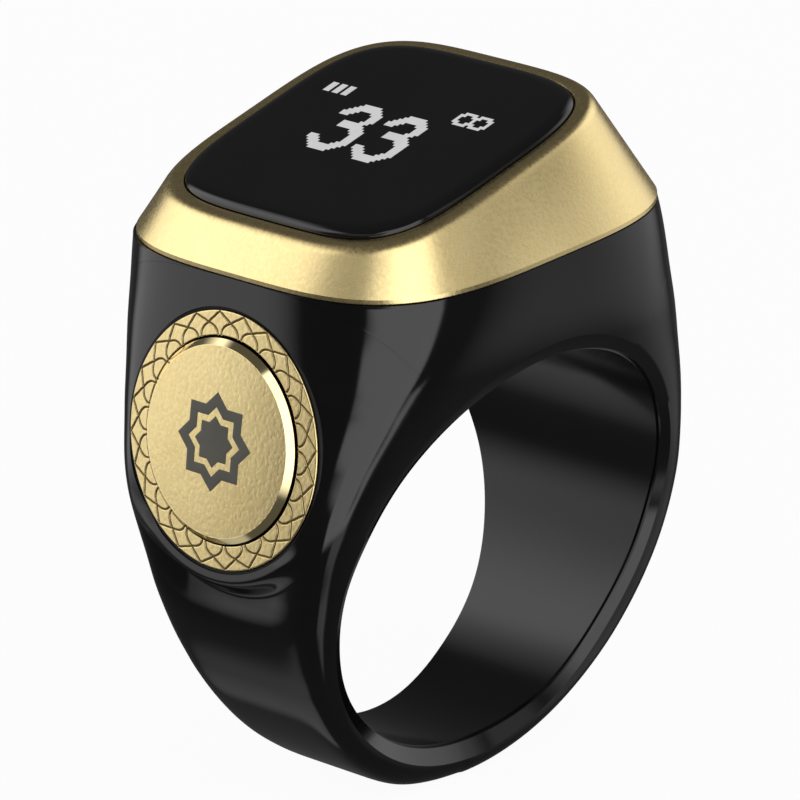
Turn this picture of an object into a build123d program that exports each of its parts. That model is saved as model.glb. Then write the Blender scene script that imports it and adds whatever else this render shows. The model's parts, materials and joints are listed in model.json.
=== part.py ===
from build123d import *
import math
import os

# A tasbih counter worn as a finger ring: black shell, gold wedge bezel, slanted display, side push button.
# Millimetres. Origin at the centre of the finger hole, +Y along the finger, +Z up through the head,
# the push button on the -X side.

# Finger hole and band
bore_radius = 9.75
liner_thickness = 0.23
liner_fit = 0.02
liner_recess = 0.15
shell_wall = 1.5
band_half_width = 3.45
waist_half_width = 5.68
shoulder_inset = 0.89
rim_chamfer = 0.45
edge_round = 0.75

# Head of the shell: its top rim is a rounded rectangle on a slightly tilted plane
wall_rise = 3.64
rim_tilt = 4.4
rim_half_y = 9.93
rim_corner = 6.3
floor_wall = 1.3
pocket_wall = 1.3
pocket_depth = 2.94
ribbon_bay = 0.58
motor_side_gap = 0.11
deep_pocket_left = 6.3
deep_pocket_gap = 0.79
deep_pocket_side_gap = 0.1
deep_pocket_depth = 4.4

# Stack under the slanted face, from the floor over the finger hole upwards
face_tilt = 17.0
face_shift = 3.07
cradle_thickness = 0.4
battery_thickness = 2.2
chip_room = 0.9
board_thickness = 0.6
frame_thickness = 0.8
oled_thickness = 1.1
adhesive_thickness = 0.15
glass_thickness = 1.1
glass_proud = 0.32

# Bezel and glass
gasket_thickness = 0.2
gasket_inset = 0.25
gasket_width = 1.0
lip_half = 8.14
lip_corner = 4.5
lip_round = 0.15
bezel_wall = 1.4
ledge_thickness = 0.7
ledge_half = 6.6
ledge_corner = 2.4
glass_half = 7.38
glass_corner = 3.9
glass_gap = 0.05
glass_round = 0.3
tape_gap = 0.1

# Display, frame and board
oled_half_x = 5.3
oled_half_y = 6.0
frame_margin = 0.6
frame_corner = 2.0
leg_radius = 1.2
leg_end_inset = 1.6
leg_side_inset = 1.3
screw_radius = 0.45
screw_head_radius = 0.75
screw_head_height = 0.4
screw_grip = 1.2
screw_bite = 1.3
screw_gap = 0.05
board_half_x = 5.4
board_half_y = 3.9
flex_thickness = 0.12
flex_bend = 1.0
oled_flex_width = 3.6
oled_flex_offset = 2.0
oled_flex_rise = 0.15
oled_flex_reach = 0.1
switch_flex_width = 1.6
switch_flex_offset = -1.0

# Chips under the board
radio_size = 3.2
radio_height = 0.7
charger_size = 1.6
charger_height = 0.5
crystal_length = 1.6
crystal_width = 1.2
crystal_height = 0.4
passive_length = 0.6
passive_width = 0.35
passive_height = 0.3
passive_pitch = 1.1
antenna_length = 3.0
antenna_width = 1.2
antenna_height = 0.6

# Battery
battery_half_x = 5.2
battery_half_y = 3.9
battery_corner = 0.6
cradle_half_x = 2.6
cradle_half_y = 3.4
cradle_shift = -2.4
tab_thickness = 0.15
tab_width = 1.6
tab_spacing = 4.0
tab_overlap = 1.0

# Vibration motor, lying along the finger axis in the taller side of the head
motor_angle = 63.3
motor_radius = 1.6
motor_length = 5.0
motor_can_wall = 0.2
motor_endcap_length = 0.6
bush_radius = 0.65
bush_nose = 0.45
bush_seat = 0.6
shaft_radius = 0.25
shaft_fit = 0.03
shaft_end_gap = 0.15
shaft_overhang = 2.65
magnet_core_wall = 0.5
magnet_core_gap = 0.2
coil_gap = 0.1
coil_wall = 0.2
coil_disc = 0.25
weight_radius = 1.4
weight_hub_radius = 0.6
weight_length = 1.9
weight_gap = 0.15
saddle_gap = 0.25
saddle_sweep = 15.0
saddle_end_gap = 1.0
saddle_height = 1.2
snug_gap = 0.02

# Push button on the -X side, measured inwards from the face of its pad
button_tilt = 7.0
button_height = 6.69
pad_rise = 0.75
ring_radius = 5.82
ring_inner_radius = 4.68
ring_proud = 0.15
ring_seat = 0.55
ring_fit = 0.03
ring_round = 0.08
cap_radius = 4.57
cap_proud = 0.65
cap_depth = 0.3
cap_chamfer = 0.42
button_travel = 0.3
flange_radius = 5.25
flange_thickness = 0.35
flange_gap = 0.05
flange_side_gap = 0.2
carrier_floor_gap = 0.1
stem_radius = 0.8
stem_gap = 0.02
seal_radius = 3.2
seal_thickness = 0.2
seal_inset = 0.05
seal_side_gap = 0.05
dome_radius = 1.9
dome_height = 0.26
dome_thickness = 0.07
dome_gap = 0.04
switch_board_radius = 2.3
switch_board_thickness = 0.25
switch_board_gap = 0.05
switch_tab_length = 0.6
slot_gap = 0.1

# Charging inlay in the top of the finger hole
plate_middle = 90.0
plate_half_angle = 28.0
plate_depth = 0.37
plate_half_y = 6.0
plate_gap = 0.05
contact_radius = 0.9
contact_recess = 0.05
contact_head = 0.4
contact_stem_radius = 0.5
contact_spacing = 4.0
contact_gap = 0.03
magnet_radius = 1.2
magnet_thickness = 0.5
magnet_spacing = 9.2
magnet_gap = 0.05

cut_overrun = 1.0
overlap_angle = 2.0
half_turn = 180.0

# The shell's cross-sections: heights as shares of the hole's radius, widths as shares of the flank,
# corners on the button's side and the other side as shares of the width, and the two lowest ones' sides
# as shares of the band's radius
section_level_shares = (1.2, 0.9, 0.4, 0.02, -0.25, -0.5)
section_width_shares = (1.0, 1.0, 1.0, 0.985, 0.93, 0.88)
pad_corner_shares = (0.56, 0.45, 0.33, 0.56, 0.5, 0.3)
side_corner_shares = (0.56, 0.48, 0.24, 0.18, 0.2, 0.25)
turn_shares = (0, 0.125, 0.25, 0.375, 0.5, 0.625, 0.75, 0.875, 1)
foot_left_shares = (0.99, 0.9)
foot_right_shares = (0.955, 0.873)

# Places of the chips on the board, as shares of its half length and half width
radio_shares = (-0.3, 0.1)
charger_shares = (0.5, -0.5)
crystal_shares = (0.25, 0.65)
antenna_shares = (-0.8, -0.2)
passive_shares = (0.1, -0.8)

# Worked out from the sizes above
liner_radius = bore_radius + liner_thickness
shell_bore = liner_radius + liner_fit
outer_radius = shell_bore + shell_wall
floor_radius = shell_bore + floor_wall
rim_height = floor_radius + wall_rise
shoulder_half_width = rim_half_y - shoulder_inset
pad_reach = outer_radius + pad_rise

cradle_level = floor_radius + cradle_thickness
battery_level = cradle_level + battery_thickness
board_level = battery_level + chip_room
frame_level = board_level + board_thickness
oled_level = frame_level + frame_thickness
adhesive_level = oled_level + oled_thickness
glass_level = adhesive_level + adhesive_thickness
lip_level = glass_level + glass_thickness - glass_proud
ledge_level = adhesive_level - ledge_thickness
frame_half_x = oled_half_x + frame_margin
frame_half_y = oled_half_y + frame_margin
seat_half = glass_half + glass_gap
tape_outer = glass_half - tape_gap
tape_inner = ledge_half + tape_gap

flange_top = ring_seat + flange_gap
flange_bottom = flange_top + flange_thickness
pad_floor = flange_bottom + button_travel + carrier_floor_gap
seal_top = pad_floor + seal_inset
seal_floor = seal_top + seal_thickness
switch_level = seal_floor + dome_gap + dome_height
well_floor = switch_level + switch_board_thickness
switch_middle = switch_level + switch_board_thickness / 2

plate_radius = shell_bore + plate_depth
plate_recess_radius = plate_radius + plate_gap
plate_gap_angle = math.degrees(plate_gap / liner_radius)
contact_face = bore_radius + contact_recess
contact_shoulder = contact_face + contact_head
magnet_level = plate_recess_radius
magnet_top = magnet_level + magnet_thickness

band_depth = shell_wall + edge_round + cut_overrun

motor_reach = floor_radius + saddle_gap + motor_radius
motor_x = motor_reach * math.cos(math.radians(motor_angle))
motor_z = motor_reach * math.sin(math.radians(motor_angle))
motor_half_span = (motor_length + shaft_overhang) / 2
motor_start = -motor_half_span
motor_front = motor_start + motor_length
saddle_length = motor_length - motor_endcap_length - saddle_end_gap
saddle_floor = floor_radius + snug_gap
bush_back = motor_front - bush_seat
coil_start = motor_start + motor_endcap_length + 2 * shaft_end_gap
magnet_core_inner = shaft_radius + magnet_core_gap
magnet_core_outer = magnet_core_inner + magnet_core_wall
coil_inner = magnet_core_outer + coil_gap
coil_outer = coil_inner + coil_wall

face_angle = math.radians(face_tilt)
face_up = Vector(-math.sin(face_angle), 0, math.cos(face_angle))
face_right = Vector(math.cos(face_angle), 0, math.sin(face_angle))

# The head's pocket reaches from beside the motor to behind the switch's ribbon
pad_angle = math.radians(button_tilt)
ribbon_height = rim_height - pocket_depth - button_height
ribbon_x = switch_middle / math.cos(pad_angle) + ribbon_height * math.tan(pad_angle) - pad_reach
pocket_left = ribbon_bay - ribbon_x
pocket_right = motor_x + motor_radius + motor_side_gap
deep_pocket_right = motor_x + motor_radius + deep_pocket_gap
deep_pocket_half_y = max(battery_half_y, motor_half_span) + deep_pocket_side_gap
rim_half_x = (pocket_left + pocket_right) / 2 + pocket_wall
rim_shift = (pocket_right - pocket_left) / 2

rim_angle = math.radians(rim_tilt)
rim_right = Vector(math.cos(rim_angle), 0, math.sin(rim_angle))
rim_up = Vector(-math.sin(rim_angle), 0, math.cos(rim_angle))
rim_plane = Plane(origin=(0, 0, rim_height), x_dir=rim_right, z_dir=rim_up)
pocket_plane = rim_plane.offset(-pocket_depth)
pad_out = Vector(-math.cos(pad_angle), 0, math.sin(pad_angle))
pad_up = Vector(math.sin(pad_angle), 0, math.cos(pad_angle))
pad_centre = Vector(-pad_reach, 0, button_height)


def face_plane(level):
    # parallel to the display, at a height along the display's normal
    return Plane(origin=face_up * level + face_right * face_shift, x_dir=face_right, z_dir=face_up)


def face_section(y):
    # upright plane along the display's slope, read as (along the slope, height along its normal)
    return Plane(origin=(0, y, 0), x_dir=face_right, z_dir=(0, -1, 0))


def pad_plane(depth):
    # parallel to the button's pad, at a depth under its face, with its normal outwards
    return Plane(origin=pad_centre - pad_out * depth, x_dir=(0, -1, 0), z_dir=pad_out)


def motor_plane(y):
    # square to the motor's axis, with its normal along +Y
    return Plane(origin=(motor_x, y, motor_z), x_dir=(-1, 0, 0), z_dir=(0, 1, 0))


def flank(level):
    # half width of the ring at a height: one parabola up to the shoulder, a second from there to the rim
    rise = (shoulder_half_width - band_half_width) / 2
    bend = (shoulder_half_width + band_half_width) / 2 - waist_half_width
    if level <= shell_bore:
        share = level / shell_bore
        return waist_half_width + rise * share + bend * share**2
    slope = (rise + 2 * bend) / shell_bore
    climb = level - shell_bore
    full = rim_height - shell_bore
    ease = (shoulder_half_width + slope * full - rim_half_y) / full**2
    return shoulder_half_width + slope * climb - ease * climb**2


def pad_x(level):
    return -pad_reach + (level - button_height) * math.tan(pad_angle)


# The +X wall runs from the rim's corner down to a tangent of the band
rim_end = Vector(0, 0, rim_height) + rim_right * (rim_shift + rim_half_x)
rim_end_angle = math.atan2(rim_end.Z, rim_end.X)
wall_lean = rim_end_angle - math.acos(outer_radius / math.hypot(rim_end.X, rim_end.Z))


def side_x(level):
    return rim_end.X + (rim_end.Z - level) * math.tan(wall_lean)


def head_sections():
    # height, the two sides as (place, corner), and half width of each cross-section under the rim
    levels = [share * shell_bore for share in section_level_shares]
    walls = [(pad_x(level), side_x(level)) for level in levels[:3]]
    walls.append((pad_x(levels[3]), math.sqrt(outer_radius**2 - levels[3] ** 2)))
    for left_share, right_share in zip(foot_left_shares, foot_right_shares):
        walls.append((-outer_radius * left_share, outer_radius * right_share))
    sections = []
    for step, level in enumerate(levels):
        width = flank(level) * section_width_shares[step]
        left, right = walls[step]
        left_corner = width * pad_corner_shares[step]
        right_corner = width * side_corner_shares[step]
        sections.append((level, (left, left_corner), (right, right_corner), width))
    return sections


def flank_outline(inset, top):
    # outline across the finger of what lies between the flanks, straight on above a height
    reach = outer_radius + cut_overrun
    with BuildSketch() as outline:
        with BuildLine():
            side = ThreePointArc(
                (flank(-reach) - inset, -reach),
                (flank(-reach / 2) - inset, -reach / 2),
                (flank(top) - inset, top),
            )
            slope = (side % 1).X / (side % 1).Y
            brow = flank(top) - inset + slope * (reach - top)
            Polyline(side @ 1, (brow, reach), (0, reach), (0, -reach), side @ 0)
        make_face()
        mirror(about=Plane.YZ)
    return outline.sketch


def sector_outline(inner, outer, middle_angle, half_angle):
    # part of a ring around the finger axis, on both sides of an angle counted from +X
    low = math.radians(middle_angle - half_angle)
    high = math.radians(middle_angle + half_angle)
    with BuildSketch() as outline:
        with BuildLine():
            for radius in (inner, outer):
                CenterArc((0, 0), radius, middle_angle - half_angle, 2 * half_angle)
            for angle in (low, high):
                Line(
                    (inner * math.cos(angle), inner * math.sin(angle)),
                    (outer * math.cos(angle), outer * math.sin(angle)),
                )
        make_face()
    return outline.sketch


def rim_outline(inset):
    # the head's rounded rectangle, drawn in by an inset
    with BuildSketch() as outline:
        with Locations((rim_shift, 0)):
            RectangleRounded(2 * (rim_half_x - inset), 2 * (rim_half_y - inset), rim_corner - inset)
    return outline.sketch


def spoke_plane(angle):
    # plane through the finger axis at an angle from +X, read as (along the finger, away from the axis)
    turn = math.radians(angle)
    return Plane(origin=(0, 0, 0), x_dir=(0, 1, 0), z_dir=(math.sin(turn), 0, -math.cos(turn)))


def spoke_height(radius, angle):
    return radius * math.sin(math.radians(angle))


def board_point(shares):
    return (shares[0] * board_half_x, shares[1] * board_half_y)


frame_centre = face_plane(frame_level).origin
leg_half_x = frame_half_x * face_right.X - leg_end_inset
leg_half_y = frame_half_y - leg_side_inset
leg_columns = (frame_centre.X - leg_half_x, frame_centre.X + leg_half_x)
leg_points = [(x, y) for x in leg_columns for y in (-leg_half_y, leg_half_y)]
leg_top = face_plane(oled_level).origin.Z + frame_half_x
leg_foot = floor_radius - shell_wall


def leg_floor(x):
    # height of the pocket's floor under a leg
    return (pocket_plane.origin + rim_right * (x / rim_right.X)).Z


os.makedirs("parts", exist_ok=True)

# Lower band: rounded cross-sections around the finger axis, as wide as the flanks
with BuildPart() as band_blank:
    for share in turn_shares:
        angle = half_turn * (share - 1)
        with BuildSketch(spoke_plane(angle)):
            with Locations((0, outer_radius - band_depth / 2)):
                RectangleRounded(2 * flank(spoke_height(outer_radius, angle)), band_depth, edge_round)
    loft()

# Chamfer of the hole's mouth: a three-cornered section carried round in two halves that overlap a little
with BuildPart() as mouth_cutter:
    for start in (-half_turn / 2, half_turn / 2):
        for share in turn_shares:
            angle = start - overlap_angle + (half_turn + 2 * overlap_angle) * share
            edge = flank(spoke_height(shell_bore, angle)) - rim_chamfer
            with BuildSketch(spoke_plane(angle)):
                with BuildLine():
                    Polyline(
                        (edge - cut_overrun, shell_bore - cut_overrun),
                        (edge + 2 * cut_overrun, shell_bore + 2 * cut_overrun),
                        (edge + 2 * cut_overrun, shell_bore - cut_overrun),
                        close=True,
                    )
                make_face()
        loft()
    mirror(about=Plane.XZ)

# Deep part of the head's pocket, beside and over the finger hole
with BuildPart() as deep_pocket:
    with BuildSketch(pocket_plane):
        with Locations(((deep_pocket_right - deep_pocket_left) / 2, 0)):
            Rectangle(deep_pocket_left + deep_pocket_right, 2 * deep_pocket_half_y)
    extrude(amount=-deep_pocket_depth)
    with BuildSketch(Plane.XZ):
        Circle(floor_radius)
    extrude(amount=rim_half_y, both=True, mode=Mode.SUBTRACT)

with BuildPart() as ring_shell:
    with BuildSketch(rim_plane):
        add(rim_outline(0))
    for level, left, right, width in head_sections():
        with BuildSketch(Plane.XY.offset(level)) as section:
            with Locations(((left[0] + right[0]) / 2, 0)):
                Rectangle(right[0] - left[0], 2 * width)
            fillet(section.vertices().group_by(Axis.X)[0], left[1])
            fillet(section.vertices().group_by(Axis.X)[-1], right[1])
    loft()
    add(band_blank.part)
    with BuildSketch(Plane.XZ):
        Circle(shell_bore)
    extrude(amount=rim_half_y + cut_overrun, both=True, mode=Mode.SUBTRACT)
    add(mouth_cutter.part, mode=Mode.SUBTRACT)
    # pocket for the works, open at the rim
    with BuildSketch(rim_plane):
        add(rim_outline(pocket_wall))
    extrude(amount=-pocket_depth, mode=Mode.SUBTRACT)
    add(deep_pocket.part, mode=Mode.SUBTRACT)
    # stepped round pocket for the button, each step cut outwards from its floor
    for radius, depth in (
        (ring_radius + ring_fit, ring_seat),
        (flange_radius + flange_side_gap, pad_floor),
        (seal_radius + seal_side_gap, seal_floor),
        (switch_board_radius + switch_board_gap, well_floor),
    ):
        with BuildSketch(pad_plane(depth)):
            Circle(radius)
        extrude(amount=depth + cut_overrun, mode=Mode.SUBTRACT)
    # slot for the switch's ribbon, up into the pocket
    with BuildSketch(pad_plane(well_floor + slot_gap)):
        with Locations((-switch_flex_offset, 0)):
            Rectangle(
                switch_flex_width + 2 * slot_gap,
                rim_height - button_height,
                align=(Align.CENTER, Align.MIN),
            )
    extrude(amount=switch_board_thickness + 2 * slot_gap, mode=Mode.SUBTRACT)
    # screw holes under the frame's legs
    for x, y in leg_points:
        with BuildSketch(Plane.XY.offset(leg_floor(x) - screw_bite - screw_gap)):
            with Locations((x, y)):
                Circle(screw_radius + screw_gap)
        extrude(amount=screw_bite + cut_overrun, mode=Mode.SUBTRACT)
    # recess for the charging inlay, its magnets and the stems of its contacts
    with BuildSketch(Plane.XZ):
        add(sector_outline(bore_radius, plate_recess_radius, plate_middle, plate_half_angle))
    extrude(amount=plate_half_y + plate_gap, both=True, mode=Mode.SUBTRACT)
    with BuildSketch(Plane.XY.offset(bore_radius)):
        with GridLocations(0, magnet_spacing, 1, 2):
            Circle(magnet_radius + magnet_gap)
    extrude(amount=magnet_top + magnet_gap - bore_radius, mode=Mode.SUBTRACT)
    with BuildSketch(Plane.XY.offset(bore_radius)):
        with GridLocations(0, contact_spacing, 1, 2):
            Circle(contact_stem_radius + contact_gap)
    extrude(amount=floor_radius - bore_radius + cut_overrun, mode=Mode.SUBTRACT)
    ring_shell.part.label = "ring_shell"

with BuildPart() as inner_liner:
    with BuildSketch(Plane.XZ):
        Circle(liner_radius)
        Circle(bore_radius, mode=Mode.SUBTRACT)
    extrude(amount=rim_half_y, both=True)
    with BuildSketch(Plane.YZ):
        add(flank_outline(rim_chamfer + liner_recess, shell_bore))
    extrude(amount=outer_radius, both=True, mode=Mode.INTERSECT)
    with BuildSketch(Plane.XZ):
        add(sector_outline(bore_radius - cut_overrun, plate_recess_radius, plate_middle, plate_half_angle))
    extrude(amount=plate_half_y + plate_gap, both=True, mode=Mode.SUBTRACT)
    inner_liner.part.label = "inner_liner"

# Charging inlay
with BuildPart() as charge_plate:
    with BuildSketch(Plane.XZ):
        add(sector_outline(bore_radius, plate_radius, plate_middle, plate_half_angle - plate_gap_angle))
    extrude(amount=plate_half_y, both=True)
    with BuildSketch(Plane.XY.offset(bore_radius - cut_overrun)):
        with GridLocations(0, contact_spacing, 1, 2):
            Circle(contact_radius + contact_gap)
    extrude(amount=contact_shoulder - bore_radius + cut_overrun, mode=Mode.SUBTRACT)
    with BuildSketch(Plane.XY.offset(bore_radius)):
        with GridLocations(0, contact_spacing, 1, 2):
            Circle(contact_stem_radius + contact_gap)
    extrude(amount=plate_radius, mode=Mode.SUBTRACT)
    charge_plate.part.label = "charge_plate"

with BuildPart() as charge_contacts:
    with BuildSketch(Plane.XY.offset(contact_face)):
        with GridLocations(0, contact_spacing, 1, 2):
            Circle(contact_radius)
    extrude(amount=contact_head)
    with BuildSketch(Plane.XY.offset(contact_shoulder)):
        with GridLocations(0, contact_spacing, 1, 2):
            Circle(contact_stem_radius)
    extrude(amount=floor_radius - contact_gap - contact_shoulder)
    charge_contacts.part.label = "charge_contacts"

with BuildPart() as charge_magnets:
    with BuildSketch(Plane.XY.offset(magnet_level)):
        with GridLocations(0, magnet_spacing, 1, 2):
            Circle(magnet_radius)
    extrude(amount=magnet_thickness)
    charge_magnets.part.label = "charge_magnets"

# Bezel, its gasket and the glass
with BuildPart() as bezel:
    with BuildSketch(rim_plane.offset(gasket_thickness)):
        add(rim_outline(0))
    with BuildSketch(face_plane(lip_level)):
        RectangleRounded(2 * lip_half, 2 * lip_half, lip_corner)
    loft(ruled=True)
    fillet(bezel.faces().sort_by(Axis(origin=(0, 0, 0), direction=face_up))[-1].edges(), lip_round)
    with BuildSketch(rim_plane.offset(gasket_thickness)):
        add(rim_outline(bezel_wall))
    with BuildSketch(face_plane(ledge_level)):
        RectangleRounded(2 * ledge_half, 2 * ledge_half, ledge_corner)
    loft(ruled=True, mode=Mode.SUBTRACT)
    with BuildSketch(face_plane(ledge_level - cut_overrun)):
        RectangleRounded(2 * ledge_half, 2 * ledge_half, ledge_corner)
    extrude(amount=ledge_thickness + 2 * cut_overrun, mode=Mode.SUBTRACT)
    with BuildSketch(face_plane(adhesive_level)):
        RectangleRounded(2 * seat_half, 2 * seat_half, glass_corner + glass_gap)
    extrude(amount=lip_level - adhesive_level + cut_overrun, mode=Mode.SUBTRACT)
    bezel.part.label = "bezel"

with BuildPart() as bezel_gasket:
    with BuildSketch(rim_plane):
        add(rim_outline(gasket_inset))
        add(rim_outline(gasket_inset + gasket_width), mode=Mode.SUBTRACT)
    extrude(amount=gasket_thickness)
    bezel_gasket.part.label = "bezel_gasket"

with BuildPart() as cover_glass:
    with BuildSketch(face_plane(glass_level)):
        RectangleRounded(2 * glass_half, 2 * glass_half, glass_corner)
    extrude(amount=glass_thickness)
    fillet(cover_glass.faces().sort_by(Axis(origin=(0, 0, 0), direction=face_up))[-1].edges(), glass_round)
    cover_glass.part.label = "cover_glass"

with BuildPart() as glass_adhesive:
    with BuildSketch(face_plane(adhesive_level)):
        RectangleRounded(2 * tape_outer, 2 * tape_outer, glass_corner - tape_gap)
        RectangleRounded(2 * tape_inner, 2 * tape_inner, ledge_corner + tape_gap, mode=Mode.SUBTRACT)
    extrude(amount=adhesive_thickness)
    glass_adhesive.part.label = "glass_adhesive"

# Display and the frame that carries it
with BuildPart() as optical_adhesive:
    with BuildSketch(face_plane(adhesive_level)):
        Rectangle(2 * (oled_half_x - tape_gap), 2 * (oled_half_y - tape_gap))
    extrude(amount=adhesive_thickness)
    optical_adhesive.part.label = "optical_adhesive"

with BuildPart() as oled_panel:
    with BuildSketch(face_plane(oled_level)):
        Rectangle(2 * oled_half_x, 2 * oled_half_y)
    extrude(amount=oled_thickness)
    oled_panel.part.label = "oled_panel"

flex_top = oled_level + oled_flex_rise
flex_low = board_level + board_thickness / 2
flex_turn = face_shift - frame_half_x - oled_flex_reach
with BuildPart() as oled_flex:
    with BuildSketch(face_section(oled_flex_offset)):
        with BuildLine():
            Line((face_shift - oled_half_x, flex_top), (flex_turn, flex_top))
            ThreePointArc(
                (flex_turn, flex_top),
                (flex_turn - (flex_top - flex_low) / 2, (flex_top + flex_low) / 2),
                (flex_turn, flex_low),
            )
            Line((flex_turn, flex_low), (face_shift - board_half_x, flex_low))
        trace(line_width=flex_thickness)
    extrude(amount=oled_flex_width / 2, both=True)
    oled_flex.part.label = "oled_flex"

with BuildPart() as display_frame:
    with BuildSketch(Plane.XY.offset(leg_foot)):
        with Locations(leg_points):
            Circle(leg_radius)
    extrude(amount=leg_top - leg_foot)
    split(bisect_by=face_plane(frame_level + frame_thickness / 2), keep=Keep.BOTTOM)
    split(bisect_by=pocket_plane, keep=Keep.TOP)
    with BuildSketch(face_plane(frame_level)):
        RectangleRounded(2 * frame_half_x, 2 * frame_half_y, frame_corner)
    extrude(amount=frame_thickness)
    for x, y in leg_points:
        with BuildSketch(Plane.XY.offset(leg_floor(x) + screw_grip)):
            with Locations((x, y)):
                Circle(screw_head_radius + screw_gap)
        extrude(amount=leg_top, mode=Mode.SUBTRACT)
        with BuildSketch(Plane.XY.offset(leg_floor(x) - cut_overrun)):
            with Locations((x, y)):
                Circle(screw_radius + screw_gap)
        extrude(amount=screw_grip + cut_overrun, mode=Mode.SUBTRACT)
    display_frame.part.label = "display_frame"

with BuildPart() as frame_screws:
    for x, y in leg_points:
        with BuildSketch(Plane.XY.offset(leg_floor(x) - screw_bite)):
            with Locations((x, y)):
                Circle(screw_radius)
        extrude(amount=screw_bite + screw_grip)
        with BuildSketch(Plane.XY.offset(leg_floor(x) + screw_grip)):
            with Locations((x, y)):
                Circle(screw_head_radius)
        extrude(amount=screw_head_height)
    frame_screws.part.label = "frame_screws"

# Main board and what hangs under it
with BuildPart() as main_board:
    with BuildSketch(face_plane(board_level)):
        Rectangle(2 * board_half_x, 2 * board_half_y)
    extrude(amount=board_thickness)
    main_board.part.label = "main_board"

with BuildPart() as radio_chip:
    with BuildSketch(face_plane(board_level)):
        with Locations(board_point(radio_shares)):
            Rectangle(radio_size, radio_size)
    extrude(amount=-radio_height)
    radio_chip.part.label = "radio_chip"

with BuildPart() as charger_chip:
    with BuildSketch(face_plane(board_level)):
        with Locations(board_point(charger_shares)):
            Rectangle(charger_size, charger_size)
    extrude(amount=-charger_height)
    charger_chip.part.label = "charger_chip"

with BuildPart() as crystal:
    with BuildSketch(face_plane(board_level)):
        with Locations(board_point(crystal_shares)):
            Rectangle(crystal_length, crystal_width)
    extrude(amount=-crystal_height)
    crystal.part.label = "crystal"

with BuildPart() as antenna:
    with BuildSketch(face_plane(board_level)):
        with Locations(board_point(antenna_shares)):
            Rectangle(antenna_width, antenna_length)
    extrude(amount=-antenna_height)
    antenna.part.label = "antenna"

with BuildPart() as passives:
    with BuildSketch(face_plane(board_level)):
        with Locations(board_point(passive_shares)):
            with GridLocations(passive_pitch, passive_pitch, 4, 1):
                Rectangle(passive_length, passive_width)
    extrude(amount=-passive_height)
    passives.part.label = "passives"

# Battery on its wedge, with two tabs up to the board
with BuildPart() as battery:
    with BuildSketch(face_plane(cradle_level)):
        RectangleRounded(2 * battery_half_x, 2 * battery_half_y, battery_corner)
    extrude(amount=battery_thickness)
    battery.part.label = "battery"

with BuildPart() as battery_cradle:
    with BuildSketch(face_plane(cradle_level)):
        with Locations((cradle_shift, 0)):
            Rectangle(2 * cradle_half_x, 2 * cradle_half_y)
    extrude(amount=-floor_wall)
    with BuildSketch(Plane.XZ):
        Circle(floor_radius + snug_gap)
    extrude(amount=cradle_half_y + cut_overrun, both=True, mode=Mode.SUBTRACT)
    battery_cradle.part.label = "battery_cradle"

with BuildPart() as battery_tabs:
    with BuildSketch(face_plane(board_level)):
        with Locations((battery_half_x + tab_thickness / 2, 0)):
            with GridLocations(0, tab_spacing, 1, 2):
                Rectangle(tab_thickness, tab_width)
    extrude(amount=-chip_room - tab_overlap)
    battery_tabs.part.label = "battery_tabs"

# Vibration motor
with BuildPart() as motor_case:
    with BuildSketch(motor_plane(motor_start)):
        Circle(motor_radius)
    extrude(amount=motor_length)
    with BuildSketch(motor_plane(motor_start)):
        Circle(motor_radius - motor_can_wall)
    extrude(amount=motor_length - motor_can_wall, mode=Mode.SUBTRACT)
    with BuildSketch(motor_plane(motor_start)):
        Circle(bush_radius + snug_gap)
    extrude(amount=motor_length + cut_overrun, mode=Mode.SUBTRACT)
    motor_case.part.label = "motor_case"

with BuildPart() as motor_endcap:
    with BuildSketch(motor_plane(motor_start)):
        Circle(motor_radius - motor_can_wall - snug_gap)
    extrude(amount=motor_endcap_length)
    motor_endcap.part.label = "motor_endcap"

with BuildPart() as motor_bush:
    with BuildSketch(motor_plane(bush_back)):
        Circle(bush_radius)
        Circle(shaft_radius + shaft_fit, mode=Mode.SUBTRACT)
    extrude(amount=bush_seat + bush_nose)
    motor_bush.part.label = "motor_bush"

with BuildPart() as motor_magnet:
    with BuildSketch(motor_plane(bush_back)):
        Circle(magnet_core_outer)
        Circle(magnet_core_inner, mode=Mode.SUBTRACT)
    extrude(amount=coil_start + coil_disc + coil_gap - bush_back)
    motor_magnet.part.label = "motor_magnet"

with BuildPart() as motor_coil:
    with BuildSketch(motor_plane(coil_start)):
        Circle(coil_outer)
    extrude(amount=bush_back - coil_gap - coil_start)
    with BuildSketch(motor_plane(coil_start + coil_disc)):
        Circle(coil_inner)
    extrude(amount=motor_length, mode=Mode.SUBTRACT)
    with BuildSketch(motor_plane(coil_start)):
        Circle(shaft_radius)
    extrude(amount=motor_length, mode=Mode.SUBTRACT)
    motor_coil.part.label = "motor_coil"

with BuildPart() as motor_shaft:
    with BuildSketch(motor_plane(motor_start + motor_endcap_length + shaft_end_gap)):
        Circle(shaft_radius)
    extrude(amount=motor_length - motor_endcap_length - shaft_end_gap + shaft_overhang)
    motor_shaft.part.label = "motor_shaft"

with BuildPart() as motor_weight:
    with BuildSketch(motor_plane(motor_front + bush_nose + weight_gap)):
        Circle(weight_radius)
        Rectangle(
            2 * weight_radius, 2 * weight_radius, align=(Align.CENTER, Align.MIN), mode=Mode.INTERSECT
        )
        Circle(weight_hub_radius)
        Circle(shaft_radius, mode=Mode.SUBTRACT)
    extrude(amount=weight_length)
    motor_weight.part.label = "motor_weight"

with BuildPart() as motor_saddle:
    with BuildSketch(Plane.XZ.offset(-motor_start - motor_endcap_length)):
        add(sector_outline(saddle_floor, saddle_floor + saddle_height, motor_angle, saddle_sweep / 2))
    extrude(amount=-saddle_length)
    with BuildSketch(motor_plane(motor_start)):
        Circle(motor_radius + snug_gap)
    extrude(amount=motor_length, mode=Mode.SUBTRACT)
    motor_saddle.part.label = "motor_saddle"

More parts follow.
